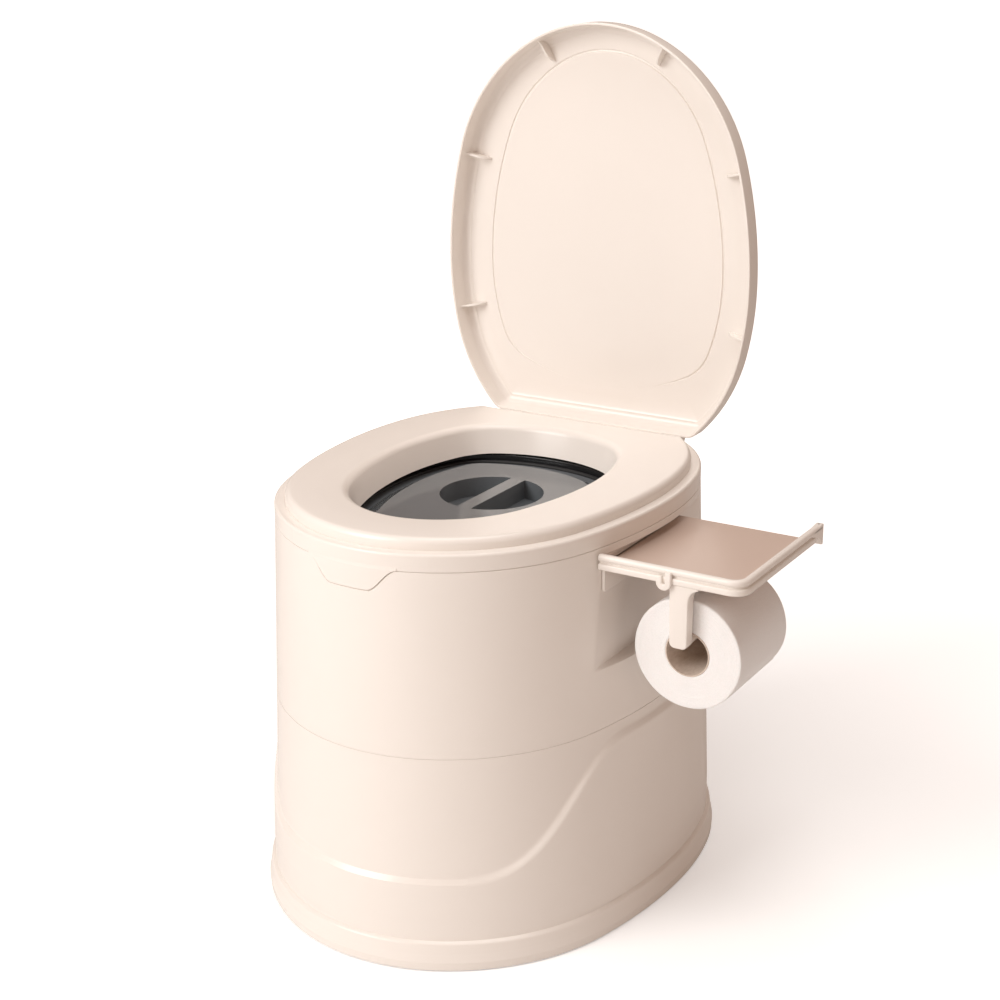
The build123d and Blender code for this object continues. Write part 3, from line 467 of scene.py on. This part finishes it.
for name, mat in {
    "lower_shell": cream, "upper_shell": cream, "seat_frame": cream, "seat_ring": cream, "lid": cream,
    "shelf_tray": cream, "roll_arm": cream, "base_plate": cream_dull, "rubber_feet": rubber,
    "seat_bumpers": rubber, "bucket_lid_seal": rubber, "base_screws": steel, "shell_screws": steel,
    "seat_screws": steel, "arm_screws": steel, "seat_hinge_pin_left": steel, "seat_hinge_pin_right": steel,
    "lid_hinge_pin_left": steel, "lid_hinge_pin_right": steel, "bucket_bail": steel, "bucket": black,
    "bail_grip": black, "bucket_lid": smoke, "roll_core": cardboard, "paper_roll": tissue,
}.items():
    data = nodes[name].data
    data.materials.clear()
    data.materials.append(mat)


def dress(obj, body, mats, slot_name, *replaced):
    for mat in mats:
        obj.data.materials.append(mat)
    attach(obj, body)
    if replaced:
        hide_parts(*replaced)
    return obj


def nearest(points, line):
    """Distance from each 2D point to a polyline, and on which side of it the point lies."""
    a, b = line[:-1], line[1:]
    d = b - a
    best = np.full(len(points), 1e9)
    side = np.zeros(len(points))
    length = (d ** 2).sum(1)
    for k in range(len(a)):
        w = points - a[k]
        t = np.clip((w @ d[k]) / length[k], 0.0, 1.0)
        gap = w - t[:, None] * d[k]
        dist = np.hypot(gap[:, 0], gap[:, 1])
        closer = dist < best
        best[closer] = dist[closer]
        cross = d[k][0] * w[:, 1] - d[k][1] * w[:, 0]
        side[closer] = np.sign(cross[closer])
    return best, side


# Lower casing: foot band, bead, and the rounded shoulder of the wave
WAVE_DEPTH, WAVE_LOW, WAVE_HIGH, WAVE_START, WAVE_END = 3.5, 85.0, 190.0, -212.0, -58.0
FOOT_FLARE, BEAD_FLARE, BEAD_TOP, FOOT_HEIGHT = 22.0, 15.5, 28.0, 11.0
SHOULDER = 5.5


def wave_line():
    reach = (WAVE_END - WAVE_START) * 0.42
    start, end = (WAVE_START, WAVE_LOW), (WAVE_END, WAVE_HIGH)
    bend = curve_points(start, (start[0] + reach, start[1]), (end[0] - reach, end[1]), end, 48)
    return np.vstack([[(-400.0, WAVE_LOW)], bend, [(400.0, WAVE_HIGH)]])


def wave_warp(verts, path, out):
    """Above the wave line the outer wall steps in by the wave's depth, over a rounded shoulder."""
    outer = out > (wall_flare(verts[:, :, 2]) - 1.0)
    zone = outer & (verts[:, :, 2] > BEAD_TOP + 6.0)
    dist, side = nearest(verts[zone][:, 1:3], wave_line())
    step = smooth((dist * side + SHOULDER * 0.35) / SHOULDER) * WAVE_DEPTH
    return press_in(verts, path, zone, step)


def make_casing_lower():
    knee = 2 * BEAD_TOP
    low_in = BEAD_FLARE - 3.0
    high_in = wall_flare(MID_SEAM) - 3.0
    profile = rounded([
        (FOOT_FLARE - 0.4, 1.0, 0.9),
        (FOOT_FLARE, FOOT_HEIGHT - 2.0, 4.0),
        (FOOT_FLARE - 1.6, FOOT_HEIGHT + 6.0, 4.0),
        (BEAD_FLARE + 3.6, BEAD_TOP - 2.0, 3.0),
        (BEAD_FLARE, BEAD_TOP),
        (wall_flare(knee) + WAVE_DEPTH, knee, 60.0),
        (wall_flare(MID_SEAM) + WAVE_DEPTH, MID_SEAM),
        (high_in - 12.0, MID_SEAM),
        (high_in - 12.0, MID_SEAM - 3.0),
        (high_in, MID_SEAM - 3.0),
        (low_in, BEAD_TOP),
        (low_in + 3.0, 10.0),
        (low_in - 14.0, 10.0),
        (low_in - 14.0, 7.0),
        (FOOT_FLARE - 6.0, 7.0),
        (FOOT_FLARE - 3.0, 1.0),
    ], 6)
    fine = []
    count = len(profile)
    for i in range(count):
        a, b = np.array(profile[i]), np.array(profile[(i + 1) % count])
        pitch = 2.2 if (a[0] > 9.0 and b[1] > BEAD_TOP and a[1] < b[1]) else 12.0
        parts = max(1, int(np.linalg.norm(b - a) / pitch))
        fine += [tuple(a + (b - a) * k / parts) for k in range(parts)]
    return loop_solid("casing_lower", stations(casing(), 2.6), fine, wave_warp)


dress(make_casing_lower(), "housing", [cream], "cream_plastic", "lower_shell")


# Seat: broad top, soft outer edge and a well rounded lip down into the opening
OPENING = egg(108.0, 165.0, 135.0, 5.0, 300.0)


SEAT_INSET, SEAT_REAR, SEAT_CORNER = 10.0, 178.0, 10.0
SEAT_SKIN, SEAT_CROWN, SKIRT_LOW = 3.0, 0.35, 372.6


def make_seat():
    outer = stations(casing(SEAT_INSET, SEAT_REAR, SEAT_CORNER), 2.6)
    hole = stations(OPENING, 2.0)
    centre = (0.0, -5.0)
    rim = rounded([
        (-SEAT_INSET - 3.0, DECK_TOP), (-SEAT_INSET, DECK_TOP), (-SEAT_INSET, SEAT_TOP - 0.4, 6.0),
        (-SEAT_INSET - 8.0, SEAT_TOP)
    ], 8, closed=False)
    lip = rounded([
        (9.0, SEAT_TOP), (0.0, SEAT_TOP - 0.2, 8.6), (-8.0, SKIRT_LOW), (-5.0, SKIRT_LOW),
        (2.2, SEAT_TOP - 3.4, 2.0), (9.0, SEAT_TOP - SEAT_SKIN)
    ], 10, closed=False)
    rows = [ring_at(outer, o, z) for o, z in rim]
    want = bearing(rows[-1], centre)
    top_out, top_in = rows[-1], matched(hole, *lip[0], want, centre)
    for t in (0.2, 0.4, 0.6, 0.8):
        row = top_out * (1 - t) + top_in * t
        row[:, 2] += SEAT_CROWN * math.sin(math.pi * t)
        rows.append(row)
    rows += [matched(hole, o, z, want, centre) for o, z in lip]
    under = matched(hole, 9.0, SEAT_TOP - SEAT_SKIN, want, centre)
    inner_rim = ring_at(outer, -SEAT_INSET - 9.0, SEAT_TOP - SEAT_SKIN)
    for t in (0.33, 0.66, 1.0):
        rows.append(under * (1 - t) + inner_rim * t)
    rows.append(ring_at(outer, -SEAT_INSET - 3.6, SEAT_TOP - 4.5))
    rows.append(ring_at(outer, -SEAT_INSET - 3.0, SEAT_TOP - 7.0))
    verts = np.stack(rows, 1)
    n, m = verts.shape[:2]
    return mesh_object("seat", verts.reshape(-1, 3), grid_faces(n, m), 34.0)


dress(make_seat(), "seat", [cream], "cream_plastic", "seat_ring")


# Lid: deep skirt, cove, flat band, thin panel line and six small gussets
LID_BASE, LID_TOP, LID_IN = 390.4, 418.4, 7.0
LID_REAR = LID_AXIS_Y - (DECK_TOP + 0.8 - LID_AXIS_Z)


def opened(verts):
    """Closed lid turned a quarter turn back about its hinge axis."""
    verts = np.array(verts, float)
    dy, dz = verts[:, 1] - LID_AXIS_Y, verts[:, 2] - LID_AXIS_Z
    return np.column_stack([verts[:, 0], LID_AXIS_Y + dz, LID_AXIS_Z - dy])


LID_CORNER, LID_SKIN, LID_FLOOR = 15.0, 2.5, 3.0
GUSSET_TURNS, GUSSET_CLEAR, KNUCKLE_X = (-62.0, -14.0, 10.0), 6.8, 94.0
PANEL = egg(134.0, 193.0, 150.0, 24.0, 390.0)
PANEL_LINE = [
    (-5.0, 0.0), (-2.7, 0.25), (-1.5, 0.1), (-0.9, -1.1), (0.0, -1.4), (0.9, -1.1), (1.5, 0.0), (2.7, 0.0)
]


def swung_open(obj):
    """Turn a piece that was drawn on the closed lid back with it."""
    places = opened(np.array([v.co for v in obj.data.vertices]) / MM) * MM
    for vertex, place in zip(obj.data.vertices, places):
        vertex.co = place
    return obj


def lid_rows(path):
    """Skin of the closed lid, from the middle of its inside over its edge to the middle of its outside."""
    centre = np.array([0.0, -20.0])
    floor_z = LID_TOP - LID_FLOOR
    inner = -LID_IN - LID_SKIN
    band = -LID_IN - 13.0
    section = rounded([
        (band, floor_z), (band + 1.8, floor_z - 1.1, 1.0), (inner - 1.5, floor_z - 1.2, 7.0),
        (inner, LID_BASE, 0.9), (-LID_IN, LID_BASE, 0.9),
        (-LID_IN, LID_TOP - 0.6, 11.0), (-LID_IN - 14.0, LID_TOP + 0.3)
    ], 8, closed=False)
    panel = stations(PANEL, 2.0)
    bearings = bearing(panel, centre)
    order = np.argsort(bearings)
    radii = np.hypot(panel[:, 0] - centre[0], panel[:, 1] - centre[1])[order]
    bearings = bearings[order]
    bearings = np.concatenate([bearings - 2 * math.pi, bearings, bearings + 2 * math.pi])
    radii = np.concatenate([radii, radii, radii])
    out = ring_at(path, band, floor_z)[:, :2] - centre
    reach = np.hypot(out[:, 0], out[:, 1])
    unit = out / reach[:, None]
    line = np.minimum(np.interp(np.arctan2(out[:, 1], out[:, 0]), bearings, radii), reach - 4.0)
    fade = 1.0 - smooth((unit[:, 1] * line + centre[1] - 118.0) / 34.0)
    flat = np.full(len(reach), floor_z)

    def radial(radius, z):
        return np.column_stack([centre + unit * radius[:, None], z])

    rows = [radial(line * share, flat) for share in (0.015, 0.05, 0.12, 0.3, 0.5, 0.7, 0.86)]
    for offset, depth in PANEL_LINE:
        rows.append(radial(line + offset * fade - (1 - fade) * 0.001 * offset, flat - depth * fade))
    rows.append(radial((line + reach) / 2, flat))
    rows += [ring_at(path, o, z) for o, z in section]
    last = rows[-1]
    for share in (0.8, 0.6, 0.4, 0.2, 0.1, 0.05, 0.015):
        row = last.copy()
        row[:, :2] = centre + (last[:, :2] - centre) * share
        row[:, 2] = LID_TOP + 0.3 + 1.6 * (1 - share ** 2)
        rows.append(row)
    return rows


def gusset_outline():
    """Side of a gusset in (out, z): inside the wall at its back, and cut round the seat's edge."""
    floor_z = LID_TOP - LID_FLOOR
    hub_x, hub_z, clear = -16.0, SEAT_TOP - 6.0, GUSSET_CLEAR
    outline = []
    for k in range(6):
        c, s = turned(90 - 16 * k)
        outline.append((-18.0 + 9.0 * c, floor_z - 7.8 + 9.0 * s))
    outline.append((-LID_IN - LID_SKIN + 0.9, hub_z))
    for k in range(7):
        c, s = turned(15 * k)
        outline.append((hub_x + clear * c, hub_z + clear * s))
    bend = curve_points(
        (hub_x, hub_z + clear), (hub_x - 9.0, hub_z + clear + 0.5),
        (hub_x - 15.0, hub_z + clear + 4.0), (hub_x - 17.5, floor_z + 1.5), 8
    )
    return outline + [tuple(p) for p in bend[1:]]


def make_lid():
    plan = casing(LID_IN, LID_REAR, LID_CORNER)
    pieces = [rows_solid("lid_shell", lid_rows(stations(plan, 2.2)), 40.0, opened)]
    for turn in GUSSET_TURNS:
        x, y, r = next(arc[:3] for arc in plan[0] if arc[3] <= turn <= arc[4])
        c, s = turned(turn)
        for side in (1, -1):
            base = (side * (x + r * c), y + r * s, 0.0)
            gusset = slab("gusset", gusset_outline(), base, (side * c, s, 0), (0, 0, 1), 2.0, 0.45)
            pieces.append(swung_open(gusset))
    for side in (-1, 1):
        knuckle = [(LID_REAR - 1.25, LID_BASE + 1.0), (LID_REAR - 1.25, LID_BASE + 13.2)]
        knuckle.append((LID_AXIS_Y - 1.2, LID_BASE + 8.4))
        for k in range(11):
            c, s = turned(30 - 24 * k)
            knuckle.append((LID_AXIS_Y + 6.0 * c, LID_AXIS_Z + 6.0 * s))
        leaf = slab("knuckle", knuckle, (side * KNUCKLE_X, 0, 0), (0, 1, 0), (0, 0, 1), 20.0, 0.6)
        pieces.append(swung_open(leaf))
    return joined("lid_cover", pieces)


dress(make_lid(), "lid", [cream], "cream_plastic", "lid")


def lathe(name, axis_x, axis_z, profile, count, radius_at=None, sharp=SHARP):
    """Solid turned about an axis along Y, from a closed profile of (radius, y)."""
    prof = np.array(profile)
    verts = []
    for i in range(count):
        a = 2 * math.pi * i / count
        r = prof[:, 0] if radius_at is None else radius_at(a, prof[:, 0], prof[:, 1])
        verts.append(np.column_stack([axis_x + r * math.cos(a), prof[:, 1], axis_z + r * math.sin(a)]))
    return mesh_object(name, np.vstack(verts), grid_faces(count, len(prof)), sharp)


# Upper casing: wall with the tab's pocket and the tray's recess, inner shelf and hinge ears
RECESS_X, RECESS_LOW, RECESS_HIGH = 168.0, 261.0, 366.0
TAB_TOP, TAB_BOTTOM, TAB_WIDE, TAB_NARROW, TAB_GAP = 374.4, 354.0, 46.0, 18.0, 0.8
MOUTH = egg(112.0, 160.0, 125.0, 0.0, 290.0)
SHELF_TOP, SHELF_LOW = 368.0, 365.0


def tab_edge(gap):
    """Front view of the tab's edge, from its left top round its bottom to its right top."""
    wide, narrow, low = TAB_WIDE + gap, TAB_NARROW + gap, TAB_BOTTOM - gap
    ease = (wide - narrow) * 0.35
    right = curve_points((narrow, low), (narrow + ease, low), (wide - ease, TAB_TOP), (wide, TAB_TOP), 24)
    right = np.vstack([right, [(wide + 0.01, TAB_TOP + 20.0)]])
    left = right[::-1].copy()
    left[:, 0] *= -1
    return np.vstack([left, right])


def upper_warp(verts, path, out):
    z = verts[:, :, 2]
    flare = wall_flare(z)
    outer = out > flare - 1.5
    front = (path[:, 1] < -150.0)[:, None] & (np.abs(path[:, 0]) < 60.0)[:, None] & (z > 340.0)
    zone = outer & front
    pts = np.column_stack([verts[zone][:, 0], z[zone]])
    dist, side = nearest(pts, tab_edge(TAB_GAP))
    inside = dist * side
    depth = smooth((inside + 0.3) / 0.7) * 2.0
    verts = press_in(verts, path, zone, depth)
    limit = np.where(outer, RECESS_X, RECESS_X - 3.0)
    over = np.maximum(0.0, verts[:, :, 0] - limit)
    weight = smooth((z - RECESS_LOW + 1.0) / 2.4) * (1.0 - smooth((z - RECESS_HIGH + 1.4) / 2.4))
    verts[:, :, 0] -= over * weight
    return verts


def make_casing_upper():
    rows = [MID_SEAM] + list(np.arange(206.0, 258.0, 4.0)) + list(np.arange(258.0, 266.0, 0.6))
    rows += list(np.arange(268.0, 346.0, 4.0)) + list(np.arange(347.0, 373.3, 0.75))
    outer = [(wall_flare(z), z) for z in rows]
    profile = [(wall_flare(MID_SEAM) - 0.9, MID_SEAM), (wall_flare(203.3) - 0.25, 203.25)]
    profile += [(o, z) for o, z in outer if z > 203.6]
    profile += [(-0.25, RIM_TOP - 0.25), (-0.9, RIM_TOP), (-3.0, RIM_TOP)]
    profile += [(wall_flare(z) - 3.0, z) for z in reversed(rows) if 206.0 < z < 373.0]
    profile += [(wall_flare(206.0) - 3.0, 206.0), (-8.6, 206.0), (-8.6, MID_SEAM)]
    path = stations(casing(), 2.2, front_step=0.8)
    wall = loop_solid("wall", path, profile, upper_warp)
    centre = (0.0, -5.0)
    coarse = stations(casing(), 4.0)
    want = bearing(ring_at(coarse, -2.0, SHELF_TOP), centre)
    hole = stations(MOUTH, 2.0)
    rows = [ring_at(coarse, -2.0, SHELF_TOP)]
    for out, z in ((5.0, SHELF_TOP), (4.5, SHELF_TOP - 0.4), (4.5, SHELF_LOW)):
        rows.append(matched(hole, out, z, want, centre))
    rows.append(ring_at(coarse, -2.0, SHELF_LOW))
    verts = np.stack(rows, 1)
    verts[:, :, 0] = np.minimum(verts[:, :, 0], RECESS_X - 1.0)
    n, m = verts.shape[:2]
    shelf = mesh_object("shelf", verts.reshape(-1, 3), grid_faces(n, m))
    pieces = [wall, shelf]
    ay, az = REAR + 8.0, RIM_TOP - 4.0
    outline = [(REAR - 1.5, az - 18.0), (REAR - 1.5, az + 2.0), (ay - 3.0, az + 2.0)]
    for k in range(10):
        c, s = turned(78 - 15 * k)
        outline.append((ay + 6.0 * c, az + 6.0 * s))
    for side in (-1, 1):
        for way in (-1, 1):
            x = side * 55.0 + way * 7.9
            pieces.append(slab("ear", outline, (x, 0, 0), (0, 1, 0), (0, 0, 1), 5.0, 0.7))
    return joined("casing_upper", pieces)


dress(make_casing_upper(), "housing", [cream], "cream_plastic", "upper_shell")


# Side tray: double-lipped rail, sunken floor, turned-down rail end, mount plate and hook
TRAY_X0, TRAY_X1, TRAY_Y0, TRAY_BACK, TRAY_CORNER = 168.3, 306.0, -91.0, 68.0, 16.0
RAIL_END = 82.0


def rail_frames(back):
    up = (0, 0, 1)
    frames = []
    for x in np.linspace(TRAY_X0, TRAY_X1 - TRAY_CORNER, 8):
        frames.append(((x, TRAY_Y0, 0), (0, -1, 0), up))
    for k in range(1, 13):
        c, s = turned(-90 + 7.5 * k)
        point = (TRAY_X1 - TRAY_CORNER + TRAY_CORNER * c, TRAY_Y0 + TRAY_CORNER + TRAY_CORNER * s, 0)
        frames.append((point, (c, s, 0), up))
    for y in np.linspace(TRAY_Y0 + TRAY_CORNER + 8.0, back, 8):
        frames.append(((TRAY_X1, y, 0), (1, 0, 0), up))
    return frames


def make_tray():
    upper = rounded([(0.0, 364.5, 2.2), (0.0, 370.0, 2.6), (-7.0, 370.0, 2.6), (-7.0, 364.0, 1.2)], 6)
    lower = rounded([
        (0.0, 356.0, 1.6), (0.0, 361.6, 1.8), (-2.4, 362.4), (-2.4, 366.0), (-6.6, 366.0), (-6.6, 356.0)
    ], 6)
    pieces = [swept("rail", rail_frames(RAIL_END), upper), swept("lip", rail_frames(TRAY_BACK), lower)]
    inset = 5.5
    r = TRAY_CORNER - inset
    x1, y0 = TRAY_X1 - inset, TRAY_Y0 + inset
    floor = [(TRAY_X0, TRAY_BACK), (TRAY_X0, y0), (x1 - r, y0)]
    for k in range(1, 10):
        c, s = turned(-90 + 10 * k)
        floor.append((x1 - r + r * c, y0 + r + r * s))
    floor.append((x1, TRAY_BACK))
    sheet = slab("tray_floor", floor, (0, 0, 357.5), (1, 0, 0), (0, 1, 0), 3.0, 0.8)
    # The sunken floor takes the tan with its painted shade.
    dress(sheet, "housing", [tan], "cream_plastic")
    end = [(RAIL_END - 26.0, 367.0), (RAIL_END - 26.0, 365.0), (RAIL_END - 12.0, 360.5)]
    bend = curve_points(
        (RAIL_END - 11.0, 360.0), (RAIL_END - 5.0, 357.0), (RAIL_END - 1.5, 354.0), (RAIL_END, 350.0), 6
    )
    end += [tuple(p) for p in bend]
    end += [(RAIL_END + 3.0, 350.0), (RAIL_END + 3.0, 370.0), (RAIL_END - 2.0, 370.0)]
    pieces.append(slab("rail_end", end, (TRAY_X1 - 3.5, 0, 0), (0, 1, 0), (0, 0, 1), 7.0, 1.4, 4))
    plate = rounded([(-84.0, 333.0, 3.0), (68.0, 333.0, 3.0), (68.0, 359.0), (-84.0, 359.0)], 5)
    pieces.append(slab("mount", plate, (TRAY_X0 + 1.5, 0, 0), (0, 1, 0), (0, 0, 1), 3.0, 0.7))
    hx, hz, outer, slit = 232.5, 357.5, 7.0, 1.5
    hook = [
        (hx - outer, hz + 4.0), (hx - outer + 1.2, hz + 5.5), (hx - slit - 1.2, hz + 5.5), (hx - slit, hz + 4.0)
    ]
    hook += [(hx - slit * turned(20 * k)[0], hz - slit * turned(20 * k)[1]) for k in range(0, 10)]
    hook += [(hx + slit, hz + 9.8), (hx + outer, hz + 9.8)]
    hook += [(hx + outer * turned(12 * k)[0], hz - outer * turned(12 * k)[1]) for k in range(0, 16)]
    pieces.append(slab("hook", hook, (0, -91.65, 0), (1, 0, 0), (0, 0, 1), 4.7, 1.2, 4))
    return joined("side_tray", pieces)


dress(make_tray(), "housing", [cream], "cream_plastic", "shelf_tray")


# Roll holder: flat post with a soft foot, fillet to the pad, and the spindle
SPINDLE_X, SPINDLE_Z, SPINDLE_R, POST_FOOT_R = 248.0, 302.5, 5.0, 5.0
ROLL_X, ROLL_Z, ROLL_FRONT, ROLL_BACK = 248.0, 288.0, -75.0, 25.0
ROLL_BORE, ROLL_R, CORE_IN, CORE_OUT = 21.1, 51.65, 19.8, 21.0


def make_arm():
    left, right, low, high = 236.0, 254.0, 297.5, 356.0
    side = [(left, high), (left + 1.0, low + 6.0)]
    for k in range(1, 7):
        c, s = turned(15 * k)
        side.append((left + 6.0 - POST_FOOT_R * c, low + POST_FOOT_R - POST_FOOT_R * s))
    for k in range(0, 6):
        c, s = turned(90 - 15 * k)
        side.append((right - POST_FOOT_R + POST_FOOT_R * c, low + POST_FOOT_R - POST_FOOT_R * s))
    bend = curve_points((right, 340.0), (right, 348.0), (right + 3.0, 352.5), (right + 9.0, 353.5), 8)
    side += [tuple(p) for p in bend]
    side += [(right + 9.0, high)]
    post = slab("post", side, (0, -83.0, 0), (1, 0, 0), (0, 0, 1), 12.0, 2.6, 5)
    outline = rounded([(227.0, -82.0), (263.0, -82.0), (263.0, -53.0, 3.0), (227.0, -53.0, 3.0)], 5)
    pad = slab("pad", outline, (0, 0, 354.0), (1, 0, 0), (0, 1, 0), 4.0, 0.8)
    rod = rounded([(0.05, -84.0), (SPINDLE_R, -84.0), (SPINDLE_R, 33.0, 1.6), (0.05, 33.0)], 6)
    spindle = lathe("spindle", SPINDLE_X, SPINDLE_Z, rod, 48)
    return joined("roll_holder", [post, pad, spindle])


dress(make_arm(), "housing", [cream], "cream_plastic", "roll_arm")


def make_roll():
    """Paper roll: soft shoulders, ends with the ridges of the turns, and the free edge of the sheet."""
    inner, outer = ROLL_BORE, ROLL_R
    ridges = 30
    front, back = [], []
    for k in range(ridges + 1):
        r = inner + 0.5 + (outer - 1.6 - inner - 0.5) * k / ridges
        wobble = 0.10 * math.sin(k * 2.1) + 0.06 * math.sin(k * 5.3)
        front.append((r, ROLL_FRONT + 0.3 + wobble))
        back.append((r, ROLL_BACK - 0.3 - wobble))
    profile = [(inner, ROLL_FRONT + 0.8)] + front
    profile += [(outer - 0.7, ROLL_FRONT + 0.5), (outer - 0.15, ROLL_FRONT + 1.2)]
    profile += [(outer, y) for y in np.linspace(ROLL_FRONT + 2.5, ROLL_BACK - 2.5, 12)]
    profile += [(outer - 0.15, ROLL_BACK - 1.2), (outer - 0.7, ROLL_BACK - 0.5)]
    profile += back[::-1] + [(inner, ROLL_BACK - 0.8)]

    def radius_at(angle, r, y):
        turn = ((angle + math.radians(38)) % (2 * math.pi)) / (2 * math.pi)
        share = np.clip((r - 40.0) / (outer - 40.0), 0.0, 1.0)
        soft = 0.18 * math.sin(3 * angle + 1.0) + 0.10 * math.sin(7 * angle)
        return r - share * (0.55 * (1.0 - turn) + 0.25 + soft * 0.8)

    return lathe("paper", ROLL_X, ROLL_Z, profile, 360, radius_at, 50.0)


def make_core():
    profile = rounded([
        (CORE_IN, ROLL_FRONT, 0.3), (CORE_OUT, ROLL_FRONT, 0.3),
        (CORE_OUT, ROLL_BACK, 0.3), (CORE_IN, ROLL_BACK, 0.3)
    ], 3)
    return lathe("core", ROLL_X, ROLL_Z, profile, 96)


roll = dress(make_roll(), "roll", [tissue, tissue_ends], "tissue", "paper_roll")
for polygon in roll.data.polygons:
    if abs(polygon.normal.y) > 0.6:
        polygon.material_index = 1
dress(make_core(), "roll", [cardboard], "cardboard", "roll_core")


def soft_light(name, place, target, size, power, color):
    light = bpy.data.lights.new(name, "AREA")
    light.shape = "RECTANGLE"
    light.size, light.size_y = size
    light.energy = power
    light.color = color
    obj = bpy.data.objects.new(name, light)
    obj.location = place
    obj.rotation_euler = (Vector(target) - Vector(place)).to_track_quat("-Z", "Y").to_euler()
    bpy.context.scene.collection.objects.link(obj)
    return obj


soft_light("key", (-1.15, -2.3, 1.95), (0.0, 0.0, 0.3), (1.5, 1.8), 55.0, (1.0, 0.99, 0.975))
soft_light("top", (0.2, -0.2, 2.6), (0.0, 0.0, 0.3), (1.4, 1.4), 20.0, (1.0, 0.99, 0.98))
soft_light("side", (2.2, -1.3, 0.9), (0.1, 0.0, 0.3), (0.35, 1.6), 3.0, (1.0, 0.86, 0.77))
soft_light("low", (-0.2, -2.3, 0.25), (0.0, 0.0, 0.1), (1.6, 0.4), 5.0, (1.0, 0.97, 0.94))


def make_world():
    world = bpy.data.worlds.new("studio")
    bpy.context.scene.world = world
    world.use_nodes = True
    tree = world.node_tree
    out = tree.nodes["World Output"]
    ambient = tree.nodes["Background"]
    ambient.inputs["Color"].default_value = (1.0, 0.72, 0.57, 1.0)
    ambient.inputs["Strength"].default_value = 0.33
    white = tree.nodes.new("ShaderNodeBackground")
    white.inputs["Color"].default_value = (1.0, 1.0, 1.0, 1.0)
    white.inputs["Strength"].default_value = 1.0
    path = tree.nodes.new("ShaderNodeLightPath")
    seen = tree.nodes.new("ShaderNodeMath")
    seen.operation = "MAXIMUM"
    tree.links.new(path.outputs["Is Camera Ray"], seen.inputs[0])
    tree.links.new(path.outputs["Is Transmission Ray"], seen.inputs[1])
    mix = tree.nodes.new("ShaderNodeMixShader")
    tree.links.new(seen.outputs[0], mix.inputs["Fac"])
    tree.links.new(ambient.outputs[0], mix.inputs[1])
    tree.links.new(white.outputs[0], mix.inputs[2])
    tree.links.new(mix.outputs[0], out.inputs["Surface"])


def make_floor():
    size = 30.0
    mesh = bpy.data.meshes.new("floor")
    corners = [(-size, -size, 0), (size, -size, 0), (size, size, 0), (-size, size, 0)]
    mesh.from_pydata(corners, [], [(0, 1, 2, 3)])
    floor = bpy.data.objects.new("floor", mesh)
    bpy.context.scene.collection.objects.link(floor)
    mat, tree, shader = principled("floor_painted_glow", (0.88, 0.88, 0.88), 0.7)
    out = tree.nodes["Material Output"]
    # Painted glow seen only by the camera: weak near the object and rising with distance, so the pale floor
    # fades into the white backdrop.
    glow = tree.nodes.new("ShaderNodeEmission")
    path = tree.nodes.new("ShaderNodeLightPath")
    coords = tree.nodes.new("ShaderNodeTexCoord")
    length = tree.nodes.new("ShaderNodeVectorMath")
    length.operation = "LENGTH"
    tree.links.new(coords.outputs["Object"], length.inputs[0])
    level = tree.nodes.new("ShaderNodeMapRange")
    for key, value in {"From Min": 0.25, "From Max": 1.5, "To Min": 0.34, "To Max": 0.9}.items():
        level.inputs[key].default_value = value
    tree.links.new(length.outputs["Value"], level.inputs["Value"])
    seen = tree.nodes.new("ShaderNodeMath")
    seen.operation = "MULTIPLY"
    tree.links.new(path.outputs["Is Camera Ray"], seen.inputs[0])
    tree.links.new(level.outputs["Result"], seen.inputs[1])
    tree.links.new(seen.outputs[0], glow.inputs["Strength"])
    add = tree.nodes.new("ShaderNodeAddShader")
    tree.links.new(shader.outputs[0], add.inputs[0])
    tree.links.new(glow.outputs[0], add.inputs[1])
    tree.links.new(add.outputs[0], out.inputs["Surface"])
    mesh.materials.append(mat)


def make_camera():
    right = Vector((0.8518, 0.5238, -0.008)).normalized()
    up = Vector((-0.1612, 0.2766, 0.9474))
    up = (up - right * up.dot(right)).normalized()
    back = right.cross(up)
    turn = Matrix((right, up, back)).transposed().to_4x4()
    data = bpy.data.cameras.new("camera")
    data.lens = 63.0
    data.sensor_width = 36.0
    data.clip_start = 0.05
    obj = bpy.data.objects.new("camera", data)
    obj.matrix_world = Matrix.Translation((0.8444, -1.3448, 0.9014)) @ turn
    bpy.context.scene.collection.objects.link(obj)
    bpy.context.scene.camera = obj


make_world()
make_floor()
make_camera()
bpy.context.scene.view_settings.view_transform = "Standard"
